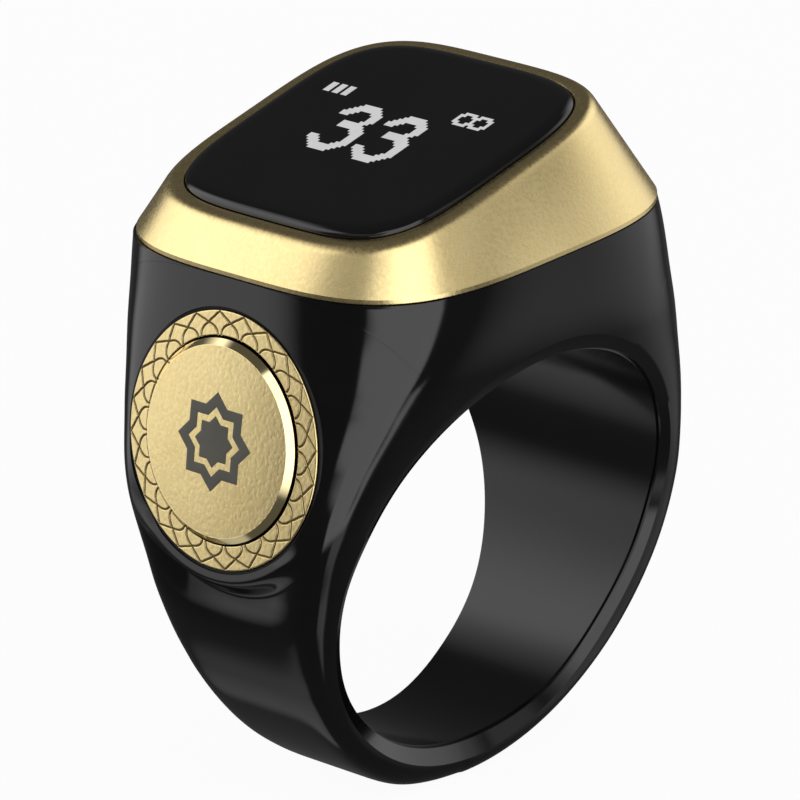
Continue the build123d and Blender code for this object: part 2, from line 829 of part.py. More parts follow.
# Push button
with BuildPart() as button_ring:
    with BuildSketch(pad_plane(ring_seat)):
        Circle(ring_radius)
        Circle(ring_inner_radius, mode=Mode.SUBTRACT)
    extrude(amount=ring_seat + ring_proud)
    fillet(button_ring.faces().sort_by(Axis(origin=(0, 0, 0), direction=pad_out))[-1].edges(), ring_round)
    button_ring.part.label = "button_ring"

with BuildPart() as button_cap:
    with BuildSketch(pad_plane(cap_depth)):
        Circle(cap_radius)
    extrude(amount=cap_depth + cap_proud)
    chamfer(button_cap.faces().sort_by(Axis(origin=(0, 0, 0), direction=pad_out))[-1].edges(), cap_chamfer)
    button_cap.part.label = "button_cap"

with BuildPart() as button_carrier:
    with BuildSketch(pad_plane(flange_top)):
        Circle(cap_radius)
    extrude(amount=flange_top - cap_depth)
    with BuildSketch(pad_plane(flange_bottom)):
        Circle(flange_radius)
    extrude(amount=flange_thickness)
    with BuildSketch(pad_plane(seal_top - stem_gap)):
        Circle(stem_radius)
    extrude(amount=seal_top - stem_gap - flange_bottom)
    button_carrier.part.label = "button_carrier"

with BuildPart() as button_seal:
    with BuildSketch(pad_plane(seal_floor)):
        Circle(seal_radius)
    extrude(amount=seal_thickness)
    button_seal.part.label = "button_seal"


def dome_point(radius, height, share):
    # a point on the cap of a sphere, from its crown (0) to its rim (1)
    ball = (radius**2 + height**2) / (2 * height)
    turn = share * math.asin(radius / ball)
    return (ball * math.sin(turn), height - ball + ball * math.cos(turn))


dome_skins = [(dome_radius, dome_height), (dome_radius - dome_thickness, dome_height - dome_thickness)]
dome_section = Plane(origin=pad_plane(switch_level).origin, x_dir=(0, -1, 0), z_dir=-pad_up)
with BuildPart() as switch_dome:
    with BuildSketch(dome_section):
        with BuildLine():
            for radius, height in dome_skins:
                ThreePointArc(*[dome_point(radius, height, share) for share in (0, 0.5, 1)])
            for share in (0, 1):
                Line(*[dome_point(radius, height, share) for radius, height in dome_skins])
        make_face()
    revolve(axis=Axis(origin=dome_section.origin, direction=pad_out))
    switch_dome.part.label = "switch_dome"

with BuildPart() as switch_board:
    with BuildSketch(pad_plane(well_floor)):
        Circle(switch_board_radius)
        with Locations((-switch_flex_offset, 0)):
            Rectangle(
                switch_flex_width,
                switch_board_radius + switch_tab_length,
                align=(Align.CENTER, Align.MIN),
            )
    extrude(amount=switch_board_thickness)
    switch_board.part.label = "switch_board"

# The switch's ribbon: up its slot, then along the display's slope to the end of the board
ribbon_start = pad_plane(switch_middle).origin + pad_up * (switch_board_radius + switch_tab_length)
ribbon_end = face_right * (face_shift - board_half_x) + face_up * flex_low
ribbon_run = (ribbon_end - ribbon_start).cross(face_right).Y / pad_up.cross(face_right).Y
ribbon_turn = ribbon_start + pad_up * ribbon_run
ribbon_points = (ribbon_start, ribbon_turn, ribbon_end)
with BuildPart() as switch_flex:
    with BuildSketch(Plane.XZ.offset(-switch_flex_offset)):
        with BuildLine():
            FilletPolyline(*[(point.X, point.Z) for point in ribbon_points], radius=flex_bend)
        trace(line_width=flex_thickness)
    extrude(amount=switch_flex_width / 2, both=True)
    switch_flex.part.label = "switch_flex"

export_step(ring_shell.part, "parts/ring_shell.step")
export_step(inner_liner.part, "parts/inner_liner.step")
export_step(charge_plate.part, "parts/charge_plate.step")
export_step(charge_contacts.part, "parts/charge_contacts.step")
export_step(charge_magnets.part, "parts/charge_magnets.step")
export_step(bezel.part, "parts/bezel.step")
export_step(bezel_gasket.part, "parts/bezel_gasket.step")
export_step(cover_glass.part, "parts/cover_glass.step")
export_step(glass_adhesive.part, "parts/glass_adhesive.step")
export_step(optical_adhesive.part, "parts/optical_adhesive.step")
export_step(oled_panel.part, "parts/oled_panel.step")
export_step(oled_flex.part, "parts/oled_flex.step")
export_step(display_frame.part, "parts/display_frame.step")
export_step(frame_screws.part, "parts/frame_screws.step")
export_step(main_board.part, "parts/main_board.step")
export_step(radio_chip.part, "parts/radio_chip.step")
export_step(charger_chip.part, "parts/charger_chip.step")
export_step(crystal.part, "parts/crystal.step")
export_step(antenna.part, "parts/antenna.step")
export_step(passives.part, "parts/passives.step")
export_step(battery.part, "parts/battery.step")
export_step(battery_cradle.part, "parts/battery_cradle.step")
export_step(battery_tabs.part, "parts/battery_tabs.step")
export_step(motor_case.part, "parts/motor_case.step")
export_step(motor_endcap.part, "parts/motor_endcap.step")
export_step(motor_bush.part, "parts/motor_bush.step")
export_step(motor_magnet.part, "parts/motor_magnet.step")
export_step(motor_coil.part, "parts/motor_coil.step")
export_step(motor_shaft.part, "parts/motor_shaft.step")
export_step(motor_weight.part, "parts/motor_weight.step")
export_step(motor_saddle.part, "parts/motor_saddle.step")
export_step(button_ring.part, "parts/button_ring.step")
export_step(button_cap.part, "parts/button_cap.step")
export_step(button_carrier.part, "parts/button_carrier.step")
export_step(button_seal.part, "parts/button_seal.step")
export_step(switch_dome.part, "parts/switch_dome.step")
export_step(switch_board.part, "parts/switch_board.step")
export_step(switch_flex.part, "parts/switch_flex.step")
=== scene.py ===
import json
import math

import bpy
import numpy as np
from mathutils import Matrix, Vector


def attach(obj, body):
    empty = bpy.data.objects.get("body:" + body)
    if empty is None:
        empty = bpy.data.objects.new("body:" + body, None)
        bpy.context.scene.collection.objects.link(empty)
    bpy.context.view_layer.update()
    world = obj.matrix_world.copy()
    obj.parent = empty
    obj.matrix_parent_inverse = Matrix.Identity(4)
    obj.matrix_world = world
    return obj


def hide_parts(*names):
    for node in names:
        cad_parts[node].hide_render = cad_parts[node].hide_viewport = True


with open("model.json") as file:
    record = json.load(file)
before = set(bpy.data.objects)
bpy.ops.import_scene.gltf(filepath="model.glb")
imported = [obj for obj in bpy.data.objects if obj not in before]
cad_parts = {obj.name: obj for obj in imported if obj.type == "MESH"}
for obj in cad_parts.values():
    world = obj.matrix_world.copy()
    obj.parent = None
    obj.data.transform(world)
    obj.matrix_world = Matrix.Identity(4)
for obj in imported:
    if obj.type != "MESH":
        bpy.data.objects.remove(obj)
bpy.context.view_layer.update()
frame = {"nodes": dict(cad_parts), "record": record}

scene = bpy.context.scene
scene.view_settings.view_transform = "Standard"
mm = 0.001


def unit(degrees):
    a = math.radians(degrees)
    return np.array([math.cos(a), 0.0, math.sin(a)])


# right and up of the three sloping planes: display face, rim under the bezel, button pad
faceRight, faceUp = unit(17.0), unit(107.0)
rimRight, rimUp = unit(4.4), unit(94.4)
padOut, padUp = unit(173.0), unit(83.0)
acrossFinger = np.array([0.0, 1.0, 0.0])
padCentre = np.array([-12.25, 0.0, 6.69])


def onPlane(origin, right, across, up, u, v, h):
    # a point u along right, v along across and h along up from the origin
    return origin + u[..., None] * right + v[..., None] * across + h[..., None] * up


def gridFaces(rows, cols, loopRows=False, loopCols=False):
    # four corners of each cell of a grid, joined end to end where it loops
    r, c = np.meshgrid(np.arange(rows - (not loopRows)), np.arange(cols - (not loopCols)), indexing="ij")
    r2, c2 = (r + 1) % rows, (c + 1) % cols
    return np.stack([r * cols + c, r * cols + c2, r2 * cols + c2, r2 * cols + c], -1).reshape(-1, 4)


def fanFaces(first, count, pole):
    # triangles from a ring of points to one pole
    k = np.arange(count)
    return np.stack([first + k, first + (k + 1) % count, np.full(count, pole)], -1)


def turnOutward(points, faces):
    # the signed volume of a closed surface is positive when its faces point out
    volume = 0.0
    for group in faces:
        for k in range(1, group.shape[1] - 1):
            a, b, c = points[group[:, 0]], points[group[:, k]], points[group[:, k + 1]]
            volume += np.einsum("ij,ij->", a, np.cross(b, c))
    return [group[:, ::-1] for group in faces] if volume < 0 else faces


def putPiece(name, points, faces, material, body, standsFor=(), sharp=35.0, values=None):
    points = np.asarray(points, float).reshape(-1, 3)
    faces = turnOutward(points, faces if isinstance(faces, list) else [faces])
    mesh = bpy.data.meshes.new(name)
    mesh.from_pydata((points * mm).tolist(), [], [f for group in faces for f in group.tolist()])
    mesh.validate()
    for key, data in (values or {}).items():
        mesh.attributes.new(key, "FLOAT", "POINT").data.foreach_set("value", np.asarray(data, np.float32).ravel())
    mesh.shade_smooth()
    mesh.set_sharp_from_angle(angle=math.radians(sharp))
    piece = bpy.data.objects.new(name, mesh)
    scene.collection.objects.link(piece)
    mesh.materials.append(material)
    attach(piece, body)
    if standsFor:
        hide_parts(*standsFor)
    print("piece", name, len(mesh.vertices), "points")
    return piece


def ringsPiece(rings, startPole=None, endPole=None):
    # rings of equal count joined in turn; poles close the ends, and without them the last ring joins the first
    rings = np.asarray(rings)
    rows, cols = rings.shape[:2]
    points = rings.reshape(-1, 3)
    if startPole is None:
        return points, [gridFaces(rows, cols, True, True)]
    points = np.concatenate([points, [startPole, endPole]])
    return points, [gridFaces(rows, cols, False, True),
                    fanFaces(0, cols, rows * cols)[:, ::-1],
                    fanFaces((rows - 1) * cols, cols, rows * cols + 1)]


def smoothTable(x, table):
    # cubic through the table's points with slopes taken from its neighbours
    xs, ys = np.array(sorted(table)).T
    slopes = np.gradient(ys, xs)
    k = np.clip(np.searchsorted(xs, x) - 1, 0, len(xs) - 2)
    h = xs[k + 1] - xs[k]
    t = np.clip((x - xs[k]) / h, 0.0, 1.0)
    return ((2 * t**3 - 3 * t**2 + 1) * ys[k] + (t**3 - 2 * t**2 + t) * h * slopes[k]
            + (3 * t**2 - 2 * t**3) * ys[k + 1] + (t**3 - t**2) * h * slopes[k + 1])


def smoothStep(x, low, high):
    t = np.clip((x - low) / (high - low), 0.0, 1.0)
    return t * t * (3 - 2 * t)


def superRadius(turn, a, b, power):
    # distance from the middle to the edge of a rounded square of half sizes a and b
    return (np.abs(np.cos(turn) / a) ** power + np.abs(np.sin(turn) / b) ** power) ** (-1 / power)


# materials
def newMaterial(name):
    material = bpy.data.materials.new(name)
    material.use_nodes = True
    tree = material.node_tree
    shader = next(n for n in tree.nodes if n.type == "BSDF_PRINCIPLED")
    return material, tree, shader


def node(tree, kind, **settings):
    made = tree.nodes.new(kind)
    for key, value in settings.items():
        if key in made.inputs:
            made.inputs[key].default_value = value
        else:
            setattr(made, key, value)
    return made


def speckle(tree, scale, detail=3.0, rough=0.55):
    place = node(tree, "ShaderNodeTexCoord")
    noise = node(tree, "ShaderNodeTexNoise", Scale=scale, Detail=detail, Roughness=rough)
    tree.links.new(place.outputs["Object"], noise.inputs["Vector"])
    return noise.outputs["Fac"]


def spread(tree, value, low, high, fromLow=0.3, fromHigh=0.7):
    ramp = node(tree, "ShaderNodeMapRange")
    for key, number in (("From Min", fromLow), ("From Max", fromHigh), ("To Min", low), ("To Max", high)):
        ramp.inputs[key].default_value = number
    tree.links.new(value, ramp.inputs["Value"])
    return ramp.outputs["Result"]


def bumpy(tree, shader, height, strength, distance):
    bump = node(tree, "ShaderNodeBump", Strength=strength, Distance=distance)
    tree.links.new(height, bump.inputs["Height"])
    tree.links.new(bump.outputs["Normal"], shader.inputs["Normal"])


def blendColours(tree, factor, first, second):
    mix = node(tree, "ShaderNodeMix", data_type="RGBA")
    mix.inputs[6].default_value = (*first, 1)
    mix.inputs[7].default_value = (*second, 1)
    tree.links.new(factor, mix.inputs["Factor"])
    return mix.outputs[2]


def maths(tree, operation, *values):
    # one step of arithmetic on numbers or on other nodes' outputs
    made = node(tree, "ShaderNodeMath", operation=operation)
    for k, value in enumerate(values):
        if isinstance(value, (int, float)):
            made.inputs[k].default_value = value
        else:
            tree.links.new(value, made.inputs[k])
    return made.outputs[0]


plainGrain = {"cloudShare": 0.15, "fineTimes": 4, "gloss": (0.9, 1.1), "relief": 0.25}


def plainFinish(name, dark, light, metal, rough, grain, bumpHeight):
    # a base colour that wanders between two close shades, with a fine grain in gloss and height
    material, tree, shader = newMaterial(name)
    shader.inputs["Metallic"].default_value = metal
    cloud = speckle(tree, grain * plainGrain["cloudShare"])
    fine = speckle(tree, grain * plainGrain["fineTimes"])
    glossLow, glossHigh = plainGrain["gloss"]
    tree.links.new(blendColours(tree, spread(tree, cloud, 0, 1), dark, light), shader.inputs["Base Color"])
    tree.links.new(spread(tree, fine, rough * glossLow, rough * glossHigh), shader.inputs["Roughness"])
    bumpy(tree, shader, fine, plainGrain["relief"], bumpHeight)
    return material


goldFinish = {
    "dark": (0.83, 0.655, 0.31), "light": (0.89, 0.715, 0.355), "cloud": 260.0,
    "rough": 0.28, "gloss": (0.9, 1.12), "grain": 5200.0, "grainDetail": 1.0, "grainRough": 0.4, "grainMiddle": 0.5,
    "grainHeight": 0.00002, "bezelRelief": 0.18, "ringRelief": 0.36, "capRelief": 0.4,
}
goldMarks = {
    "polish": {"colour": (0.96, 0.80, 0.44), "rough": 0.1},
    "groove": {"colour": (0.17, 0.115, 0.045), "rough": 0.55},
    # painted shade: near black on gold walls that lie in shade in the gaps round the button's ring and cap
    "paintedShade": {"colour": (0.004, 0.003, 0.002), "rough": 0.7},
}

shellBlack = plainFinish("shellBlack", (0.0022, 0.0022, 0.0024), (0.0034, 0.0034, 0.0037), 0.0, 0.09, 1500.0, 0.0000006)
linerDark = plainFinish("linerDark", (0.0026, 0.0026, 0.0028), (0.004, 0.004, 0.0043), 0.0, 0.16, 1500.0, 0.000001)


def goldMaterial(name, relief, marks=()):
    # bead blasted champagne gold with some relief; each mark is an attribute that turns it towards another colour and
    # roughness, where the grain is evened out; the painted shade mark turns walls that lie in shade near black
    material, tree, shader = newMaterial(name)
    shader.inputs["Metallic"].default_value = 1.0
    cloud = speckle(tree, goldFinish["cloud"])
    grain = speckle(tree, goldFinish["grain"], goldFinish["grainDetail"], goldFinish["grainRough"])
    colour = blendColours(tree, spread(tree, cloud, 0, 1), goldFinish["dark"], goldFinish["light"])
    glossLow, glossHigh = goldFinish["gloss"]
    rough = spread(tree, grain, goldFinish["rough"] * glossLow, goldFinish["rough"] * glossHigh)
    height = grain
    for key in marks:
        mark = node(tree, "ShaderNodeAttribute", attribute_name=key).outputs["Fac"]
        mix = node(tree, "ShaderNodeMix", data_type="RGBA")
        tree.links.new(mark, mix.inputs["Factor"])
        tree.links.new(colour, mix.inputs[6])
        mix.inputs[7].default_value = (*goldMarks[key]["colour"], 1)
        colour = mix.outputs[2]
        level = node(tree, "ShaderNodeMix", data_type="FLOAT")
        tree.links.new(mark, level.inputs["Factor"])
        tree.links.new(rough, level.inputs[2])
        level.inputs[3].default_value = goldMarks[key]["rough"]
        rough = level.outputs[0]
        even = node(tree, "ShaderNodeMix", data_type="FLOAT")
        tree.links.new(mark, even.inputs["Factor"])
        tree.links.new(height, even.inputs[2])
        even.inputs[3].default_value = goldFinish["grainMiddle"]
        height = even.outputs[0]
    tree.links.new(colour, shader.inputs["Base Color"])
    tree.links.new(rough, shader.inputs["Roughness"])
    bumpy(tree, shader, height, relief, goldFinish["grainHeight"])
    return material


goldPlain = goldMaterial("goldPlain", goldFinish["bezelRelief"])
# the engraved ring and the cap carry the painted shade mark on their walls in the gaps
goldEngraved = goldMaterial("goldEngraved", goldFinish["ringRelief"], ("groove", "paintedShade"))
goldCap = goldMaterial("goldCap", goldFinish["capRelief"], ("polish", "paintedShade"))
glassDark = plainFinish("glassDark", (0.0045, 0.0045, 0.0045), (0.006, 0.006, 0.006), 0.0, 0.05, 700.0, 0.0000002)
sealRubber = plainFinish("sealRubber", (0.005, 0.005, 0.005), (0.009, 0.009, 0.009), 0.0, 0.75, 2600.0, 0.00001)
starPaint = plainFinish("starPaint", (0.075, 0.07, 0.055), (0.10, 0.095, 0.075), 0.0, 0.5, 3000.0, 0.000004)
pixelFinish = {
    "dim": (0.55, 0.55, 0.55), "bright": (0.60, 0.60, 0.60), "cloud": 900.0,
    "unlit": (0.02, 0.02, 0.02, 1), "rough": 0.4,
}


def litPixels():
    # a faint wander of brightness over the lit cells
    material, tree, shader = newMaterial("litPixels")
    cloud = speckle(tree, pixelFinish["cloud"])
    colour = blendColours(tree, spread(tree, cloud, 0, 1), pixelFinish["dim"], pixelFinish["bright"])
    tree.links.new(colour, shader.inputs["Emission Color"])
    shader.inputs["Emission Strength"].default_value = 1.0
    shader.inputs["Base Color"].default_value = pixelFinish["unlit"]
    shader.inputs["Roughness"].default_value = pixelFinish["rough"]
    return material


pixelLight = litPixels()
print("materials ready")

# the black ring
shellShape = {
    "bore": 10.0, "outer": 11.5, "seam": 0.15, "samples": 260,
    # chamfer of the finger hole, narrower on the side away from the button
    "mouth": 10.55, "mouthRight": 0.3, "mouthFade": (0.0, 0.6), "mouthDeep": 0.45, "lip": 9.85, "lipDeep": 0.18,
    # ends of the rim under the bezel, slope of the far wall, and where the button side passes into the band
    "rimRight": (8.892, 15.624), "rimLeft": (-11.42, 13.88), "sideSlope": 0.1785, "footEnd": -5.0,
    # boss and hollow below the button: distance from its middle, and the heights between which each fades out
    "bossFlat": 6.25, "bossEnd": 7.1, "bossRise": (-5.0, -3.4), "wallFade": (-1.9, -0.9),
    "hollowDeep": 0.46, "hollowStart": 6.2, "hollowEnd": 9.4, "hollowRise": (-5.2, -3.2), "hollowSide": (2.4, 5.2),
    # the button side at height z lies at this x, before the boss
    "leftWall": ((13.88, -11.42), (12, -11.60), (9, -11.946), (6.5, -12.388), (4, -12.70), (1.5, -12.566),
                 (0.2, -12.366), (-1.2, -12.119), (-2.5, -11.726), (-3.8, -11.235), (-5, -10.666)),
    # how much the band is thicker than its circle, by angle
    "bandRight": ((-90, -0.005), (-70, -0.09), (-50, -0.13), (-32, 0.06), (-15, 0.02), (0, -0.005)),
    "bandLeft": ((205.1, 0.28), (220, 0.16), (235, 0.17), (250, 0.21), (260, 0.08), (266, 0.012), (270, -0.005)),
    # corner radius between flank and wall, by height
    "leftCorner": ((16, 6.234), (12, 5.416), (9, 3.888), (6, 2.643), (3, 1.793), (1, 1.629), (-1, 1.422), (-3, 1.218),
                   (-5.5, 1.033), (-8.5, 0.892), (-12, 0.854)),
    "rightCorner": ((16, 6.34), (12, 5.341), (9, 3.6), (6, 1.984), (3, 1.157), (1, 0.86), (-1, 0.751), (-3, 0.752),
                    (-5.5, 0.779), (-8.5, 0.774), (-12, 0.749)),
    # the corner's size as a share of the half width stays within these limits, and its rounding is measured by how
    # far a quarter circle stays back from its corner, one less the root of a half; between the heights of the fade
    # the distance to the wall passes from radial, on the band, to level, on the head
    "cornerLimits": (0.05, 0.75), "cornerCut": 0.29289, "levelFade": (-6.0, -1.0),
    # half width by height: a parabola below the shoulder and another above it, with small departures from both
    "shoulder": 10.0, "flankLow": (5.68, 2.795, 0.565), "flankHigh": (9.04, 0.3925, -0.043),
    "flankMore": ((15.7, 0.0), (12, -0.02), (9, 0.0), (6, 0.0), (3, 0.05), (0, -0.02), (-3, 0.0), (-6, 0.0),
                  (-9, 0.13), (-11.5, 0.02)),
    # points on each stretch of the outline, rows of the surface on each, and points along a row
    "outlineCount": {"band": 500, "side": 400, "rim": 600, "wall": 900, "back": 300},
    "rowCount": {"right": 101, "rim": 101, "left": 201, "foot": 62}, "footStart": -1.5, "rimCrowd": 1.8,
    "wallCrowd": 8, "flankShare": 0.3, "flankCount": 16, "wallCount": 74, "boreShares": (0.6, 0.2, -0.2, -0.6),
}


def flankWidth(z):
    # half width of the ring along the finger: a parabola up to the shoulder, a flatter one above it
    shoulder, low, high = shellShape["shoulder"], shellShape["flankLow"], shellShape["flankHigh"]
    s, c = z / shoulder, z - shoulder
    width = np.where(z <= shoulder, low[0] + low[1] * s + low[2] * s**2, high[0] + high[1] * c + high[2] * c**2)
    return width + smoothTable(z, shellShape["flankMore"])


def shellOutline():
    # the middle outline as points x, z from the bottom round to the bottom, with where the rim begins and ends
    outer, lean = shellShape["outer"], math.degrees(math.atan(shellShape["sideSlope"]))
    count = shellShape["outlineCount"]
    turn = np.linspace(-90, lean, count["band"])
    bandR = outer + smoothTable(np.minimum(turn, 0), shellShape["bandRight"])
    endX, endZ = shellShape["rimRight"]
    z1 = np.linspace(outer * math.sin(math.radians(lean)), endZ, count["side"])[1:]
    rim = np.linspace(shellShape["rimRight"], shellShape["rimLeft"], count["rim"])[1:]
    z2 = np.linspace(shellShape["rimLeft"][1], shellShape["footEnd"], count["wall"])[1:]
    wall = smoothTable(z2, shellShape["leftWall"])
    back = np.linspace(math.degrees(math.atan2(z2[-1], wall[-1])) % 360, 270, count["back"])[1:]
    bandL = outer + smoothTable(back, shellShape["bandLeft"])
    x = np.concatenate([bandR * np.cos(np.radians(turn)), endX + (endZ - z1) * shellShape["sideSlope"], rim[:, 0], wall,
                        bandL * np.cos(np.radians(back))])
    z = np.concatenate([bandR * np.sin(np.radians(turn)), z1, rim[:, 1], z2, bandL * np.sin(np.radians(back))])
    rimStart = len(turn) + len(z1) - 1
    return x, z, rimStart, rimStart + len(rim)


def shellRows(x, z, rimStart, rimEnd):
    # angles of the rows: close on the button side, wider on the band, crowded towards both ends of the rim
    count = shellShape["rowCount"]
    angle = np.unwrap(np.arctan2(z, x))
    s = np.linspace(-1, 1, count["rim"])
    s = (np.sign(s) * (1 - (1 - np.abs(s)) ** shellShape["rimCrowd"]) + 1) / 2
    rimX = x[rimStart] + s * (x[rimEnd] - x[rimStart])
    rimZ = z[rimStart] + s * (z[rimEnd] - z[rimStart])
    run = np.concatenate([[0], np.cumsum(np.hypot(np.diff(x), np.diff(z)))])
    foot = run[rimEnd + np.argmax(z[rimEnd:] < shellShape["footStart"])]
    right = np.interp(np.linspace(0, run[rimStart], count["right"]), run, angle)[:-1]
    leftRun = np.concatenate([np.linspace(run[rimEnd], foot, count["left"])[1:],
                              np.linspace(foot, run[-1], count["foot"])[1:-1]])
    left = np.interp(leftRun, run, angle)
    return np.concatenate([right, np.arctan2(rimZ, rimX), left]), angle


def shellPoints():
    # for each angle the section runs from the chamfer along the flank and round the corner to the middle of the
    # outer wall; its half width is w times the p-th root of (1 - g^p), where g grows from 0 to 1 near that wall
    # and p gives the corner radius; the wall under the button is hollowed a little, and points just below the
    # button are drawn onto a flat boss
    x0, z0, rimStart, rimEnd = shellOutline()
    angle, outAngle = shellRows(x0, z0, rimStart, rimEnd)
    rho = np.interp(angle, outAngle, np.hypot(x0, z0))
    narrow = smoothStep(np.cos(angle), *shellShape["mouthFade"])
    start = (shellShape["mouth"] - shellShape["mouthRight"] * narrow)[:, None]
    u = np.linspace(0, 1, shellShape["samples"])
    r = rho[:, None] - (rho[:, None] - start) * (1 - u) ** shellShape["wallCrowd"]
    x, z = r * np.cos(angle)[:, None], r * np.sin(angle)[:, None]
    level = smoothStep(z, *shellShape["levelFade"])
    isLeft = x < 0
    leftSide = np.interp(z, z0[rimEnd:][::-1], x0[rimEnd:][::-1])
    rightSide = np.interp(z, z0[:rimStart + 1], x0[:rimStart + 1])
    flat = np.where(isLeft, x - leftSide, rightSide - x)
    wall = level * flat + (1 - level) * (rho[:, None] - r)
    width = flankWidth(z)
    corner = np.where(isLeft, smoothTable(z, shellShape["leftCorner"]), smoothTable(z, shellShape["rightCorner"]))
    power = math.log(2) / -np.log(1 - shellShape["cornerCut"] * np.clip(corner / width, *shellShape["cornerLimits"]))
    g = np.clip(1 - wall / width, 0, 1)
    y = np.maximum(width * (1 - g**power) ** (1 / power), shellShape["seam"])
    steps = np.hypot(np.diff(r, axis=1), np.diff(y, axis=1))
    run = np.concatenate([np.zeros((len(angle), 1)), np.cumsum(steps, axis=1)], axis=1)
    share = shellShape["flankShare"]
    want = np.concatenate([np.linspace(0, share, shellShape["flankCount"])[:-1],
                           np.linspace(share, 1, shellShape["wallCount"])])
    rr = np.array([np.interp(want * s[-1], s, v) for s, v in zip(run, r)])
    yy = np.array([np.interp(want * s[-1], s, v) for s, v in zip(run, y)])
    edge = yy[:, :1] - shellShape["mouthDeep"] * (start - shellShape["lip"]) / (shellShape["mouth"] - shellShape["lip"])
    back = edge - shellShape["lipDeep"]
    one = np.ones_like(edge)
    rHalf = np.concatenate([shellShape["bore"] * one, shellShape["lip"] * one, shellShape["lip"] * one, rr], axis=1)
    yHalf = np.concatenate([back, back, edge, yy], axis=1)
    bore = np.array(shellShape["boreShares"])
    rAll = np.concatenate([rHalf, rHalf[:, ::-1], np.full((len(angle), len(bore)), shellShape["bore"])], axis=1)
    yAll = np.concatenate([-yHalf, yHalf[:, ::-1], back * bore], axis=1)
    points = np.stack([rAll * np.cos(angle)[:, None], yAll, rAll * np.sin(angle)[:, None]], -1)
    away = points - padCentre
    height, rise = away @ padOut, away @ padUp
    dist = np.hypot(rise, away[..., 1])
    onWall = smoothStep(height, *shellShape["wallFade"]) * (points[..., 0] < 0)
    hollow = 1 - smoothStep(dist, shellShape["hollowStart"], shellShape["hollowEnd"])
    hollow = hollow * (1 - smoothStep(rise, *shellShape["hollowRise"]))
    hollow = hollow * (1 - smoothStep(np.abs(away[..., 1]), *shellShape["hollowSide"]))
    points = points - (onWall * shellShape["hollowDeep"] * hollow)[..., None] * padOut
    height = (points - padCentre) @ padOut
    near = 1 - smoothStep(dist, shellShape["bossFlat"], shellShape["bossEnd"])
    near = near * (1 - smoothStep(rise, *shellShape["bossRise"]))
    return points - (onWall * near * height)[..., None] * padOut, angle, back[:, 0]


def spun(profile, count):
    # a closed profile of distance and height turned round the button's axis, height outward from the pad
    turn = np.linspace(0, 2 * math.pi, count, endpoint=False)
    q, h = np.asarray(profile, float).T
    return onPlane(padCentre, acrossFinger, padUp, padOut, q[:, None] * np.cos(turn), q[:, None] * np.sin(turn),
                   h[:, None] * np.ones(count))


shellGrid, shellAngle, lipBack = shellPoints()
shellSharp = 28.0
shell = putPiece("ringShell", shellGrid, gridFaces(*shellGrid.shape[:2], True, True), shellBlack, "ring",
                 ("ring_shell",), sharp=shellSharp)

# the stepped well behind the button is cut from the pad
wellShape = {
    "profile": ((5.93, 2.5), (5.93, -0.55), (5.47, -0.55), (5.47, -1.42), (3.4, -1.42), (3.4, -1.7), (2.45, -1.7),
                (2.45, -2.2)),
    "count": 240,
}
wellTop, wellFloor = wellShape["profile"][0][1], wellShape["profile"][-1][1]
wellPoints, wellFaces = ringsPiece(spun(wellShape["profile"], wellShape["count"]),
                                   padCentre + wellTop * padOut, padCentre + wellFloor * padOut)
wellMesh = bpy.data.meshes.new("buttonWell")
wellFaces = turnOutward(wellPoints, wellFaces)
wellMesh.from_pydata((wellPoints * mm).tolist(), [], [f for group in wellFaces for f in group.tolist()])
well = bpy.data.objects.new("buttonWell", wellMesh)
scene.collection.objects.link(well)
cut = shell.modifiers.new("buttonWell", "BOOLEAN")
cut.operation, cut.object, cut.solver = "DIFFERENCE", well, "EXACT"
bpy.context.view_layer.update()
cutMesh = bpy.data.meshes.new_from_object(shell.evaluated_get(bpy.context.evaluated_depsgraph_get()))
shell.modifiers.clear()
shell.data = cutMesh
bpy.data.objects.remove(well)
cutMesh.shade_smooth()
cutMesh.set_sharp_from_angle(angle=math.radians(shellSharp))
even = shell.modifiers.new("evenNormals", "WEIGHTED_NORMAL")
even.keep_sharp = True
print("shell cut", len(cutMesh.vertices), "points")

# dark ring in the seal's rubber at the bottom of the gap round the button's ring: painted shade that gives the gap its
# black line
gapShadeShape = {
    "profile": ((5.79, -0.54), (5.79, -0.12), (5.81, -0.10), (5.93, -0.10), (5.95, -0.12), (5.95, -0.54)), "count": 288,
}
gapShadePoints, gapShadeFaces = ringsPiece(spun(gapShadeShape["profile"], gapShadeShape["count"]))
putPiece("ringGapShade", gapShadePoints, gapShadeFaces, sealRubber, "ring", sharp=35.0)

# liner of the finger hole, open at the top for the charging inlay
linerShape = {
    "inner": 9.75, "outer": 9.98, "gap": 0.02, "openHalf": 28.0, "openY": 6.05, "topCount": 61, "restCount": 301,
    "windowCount": 9, "outside": (1, 0.66, 0.33), "narrow": 0.5, "evenFade": (0.1, 1.2),
}


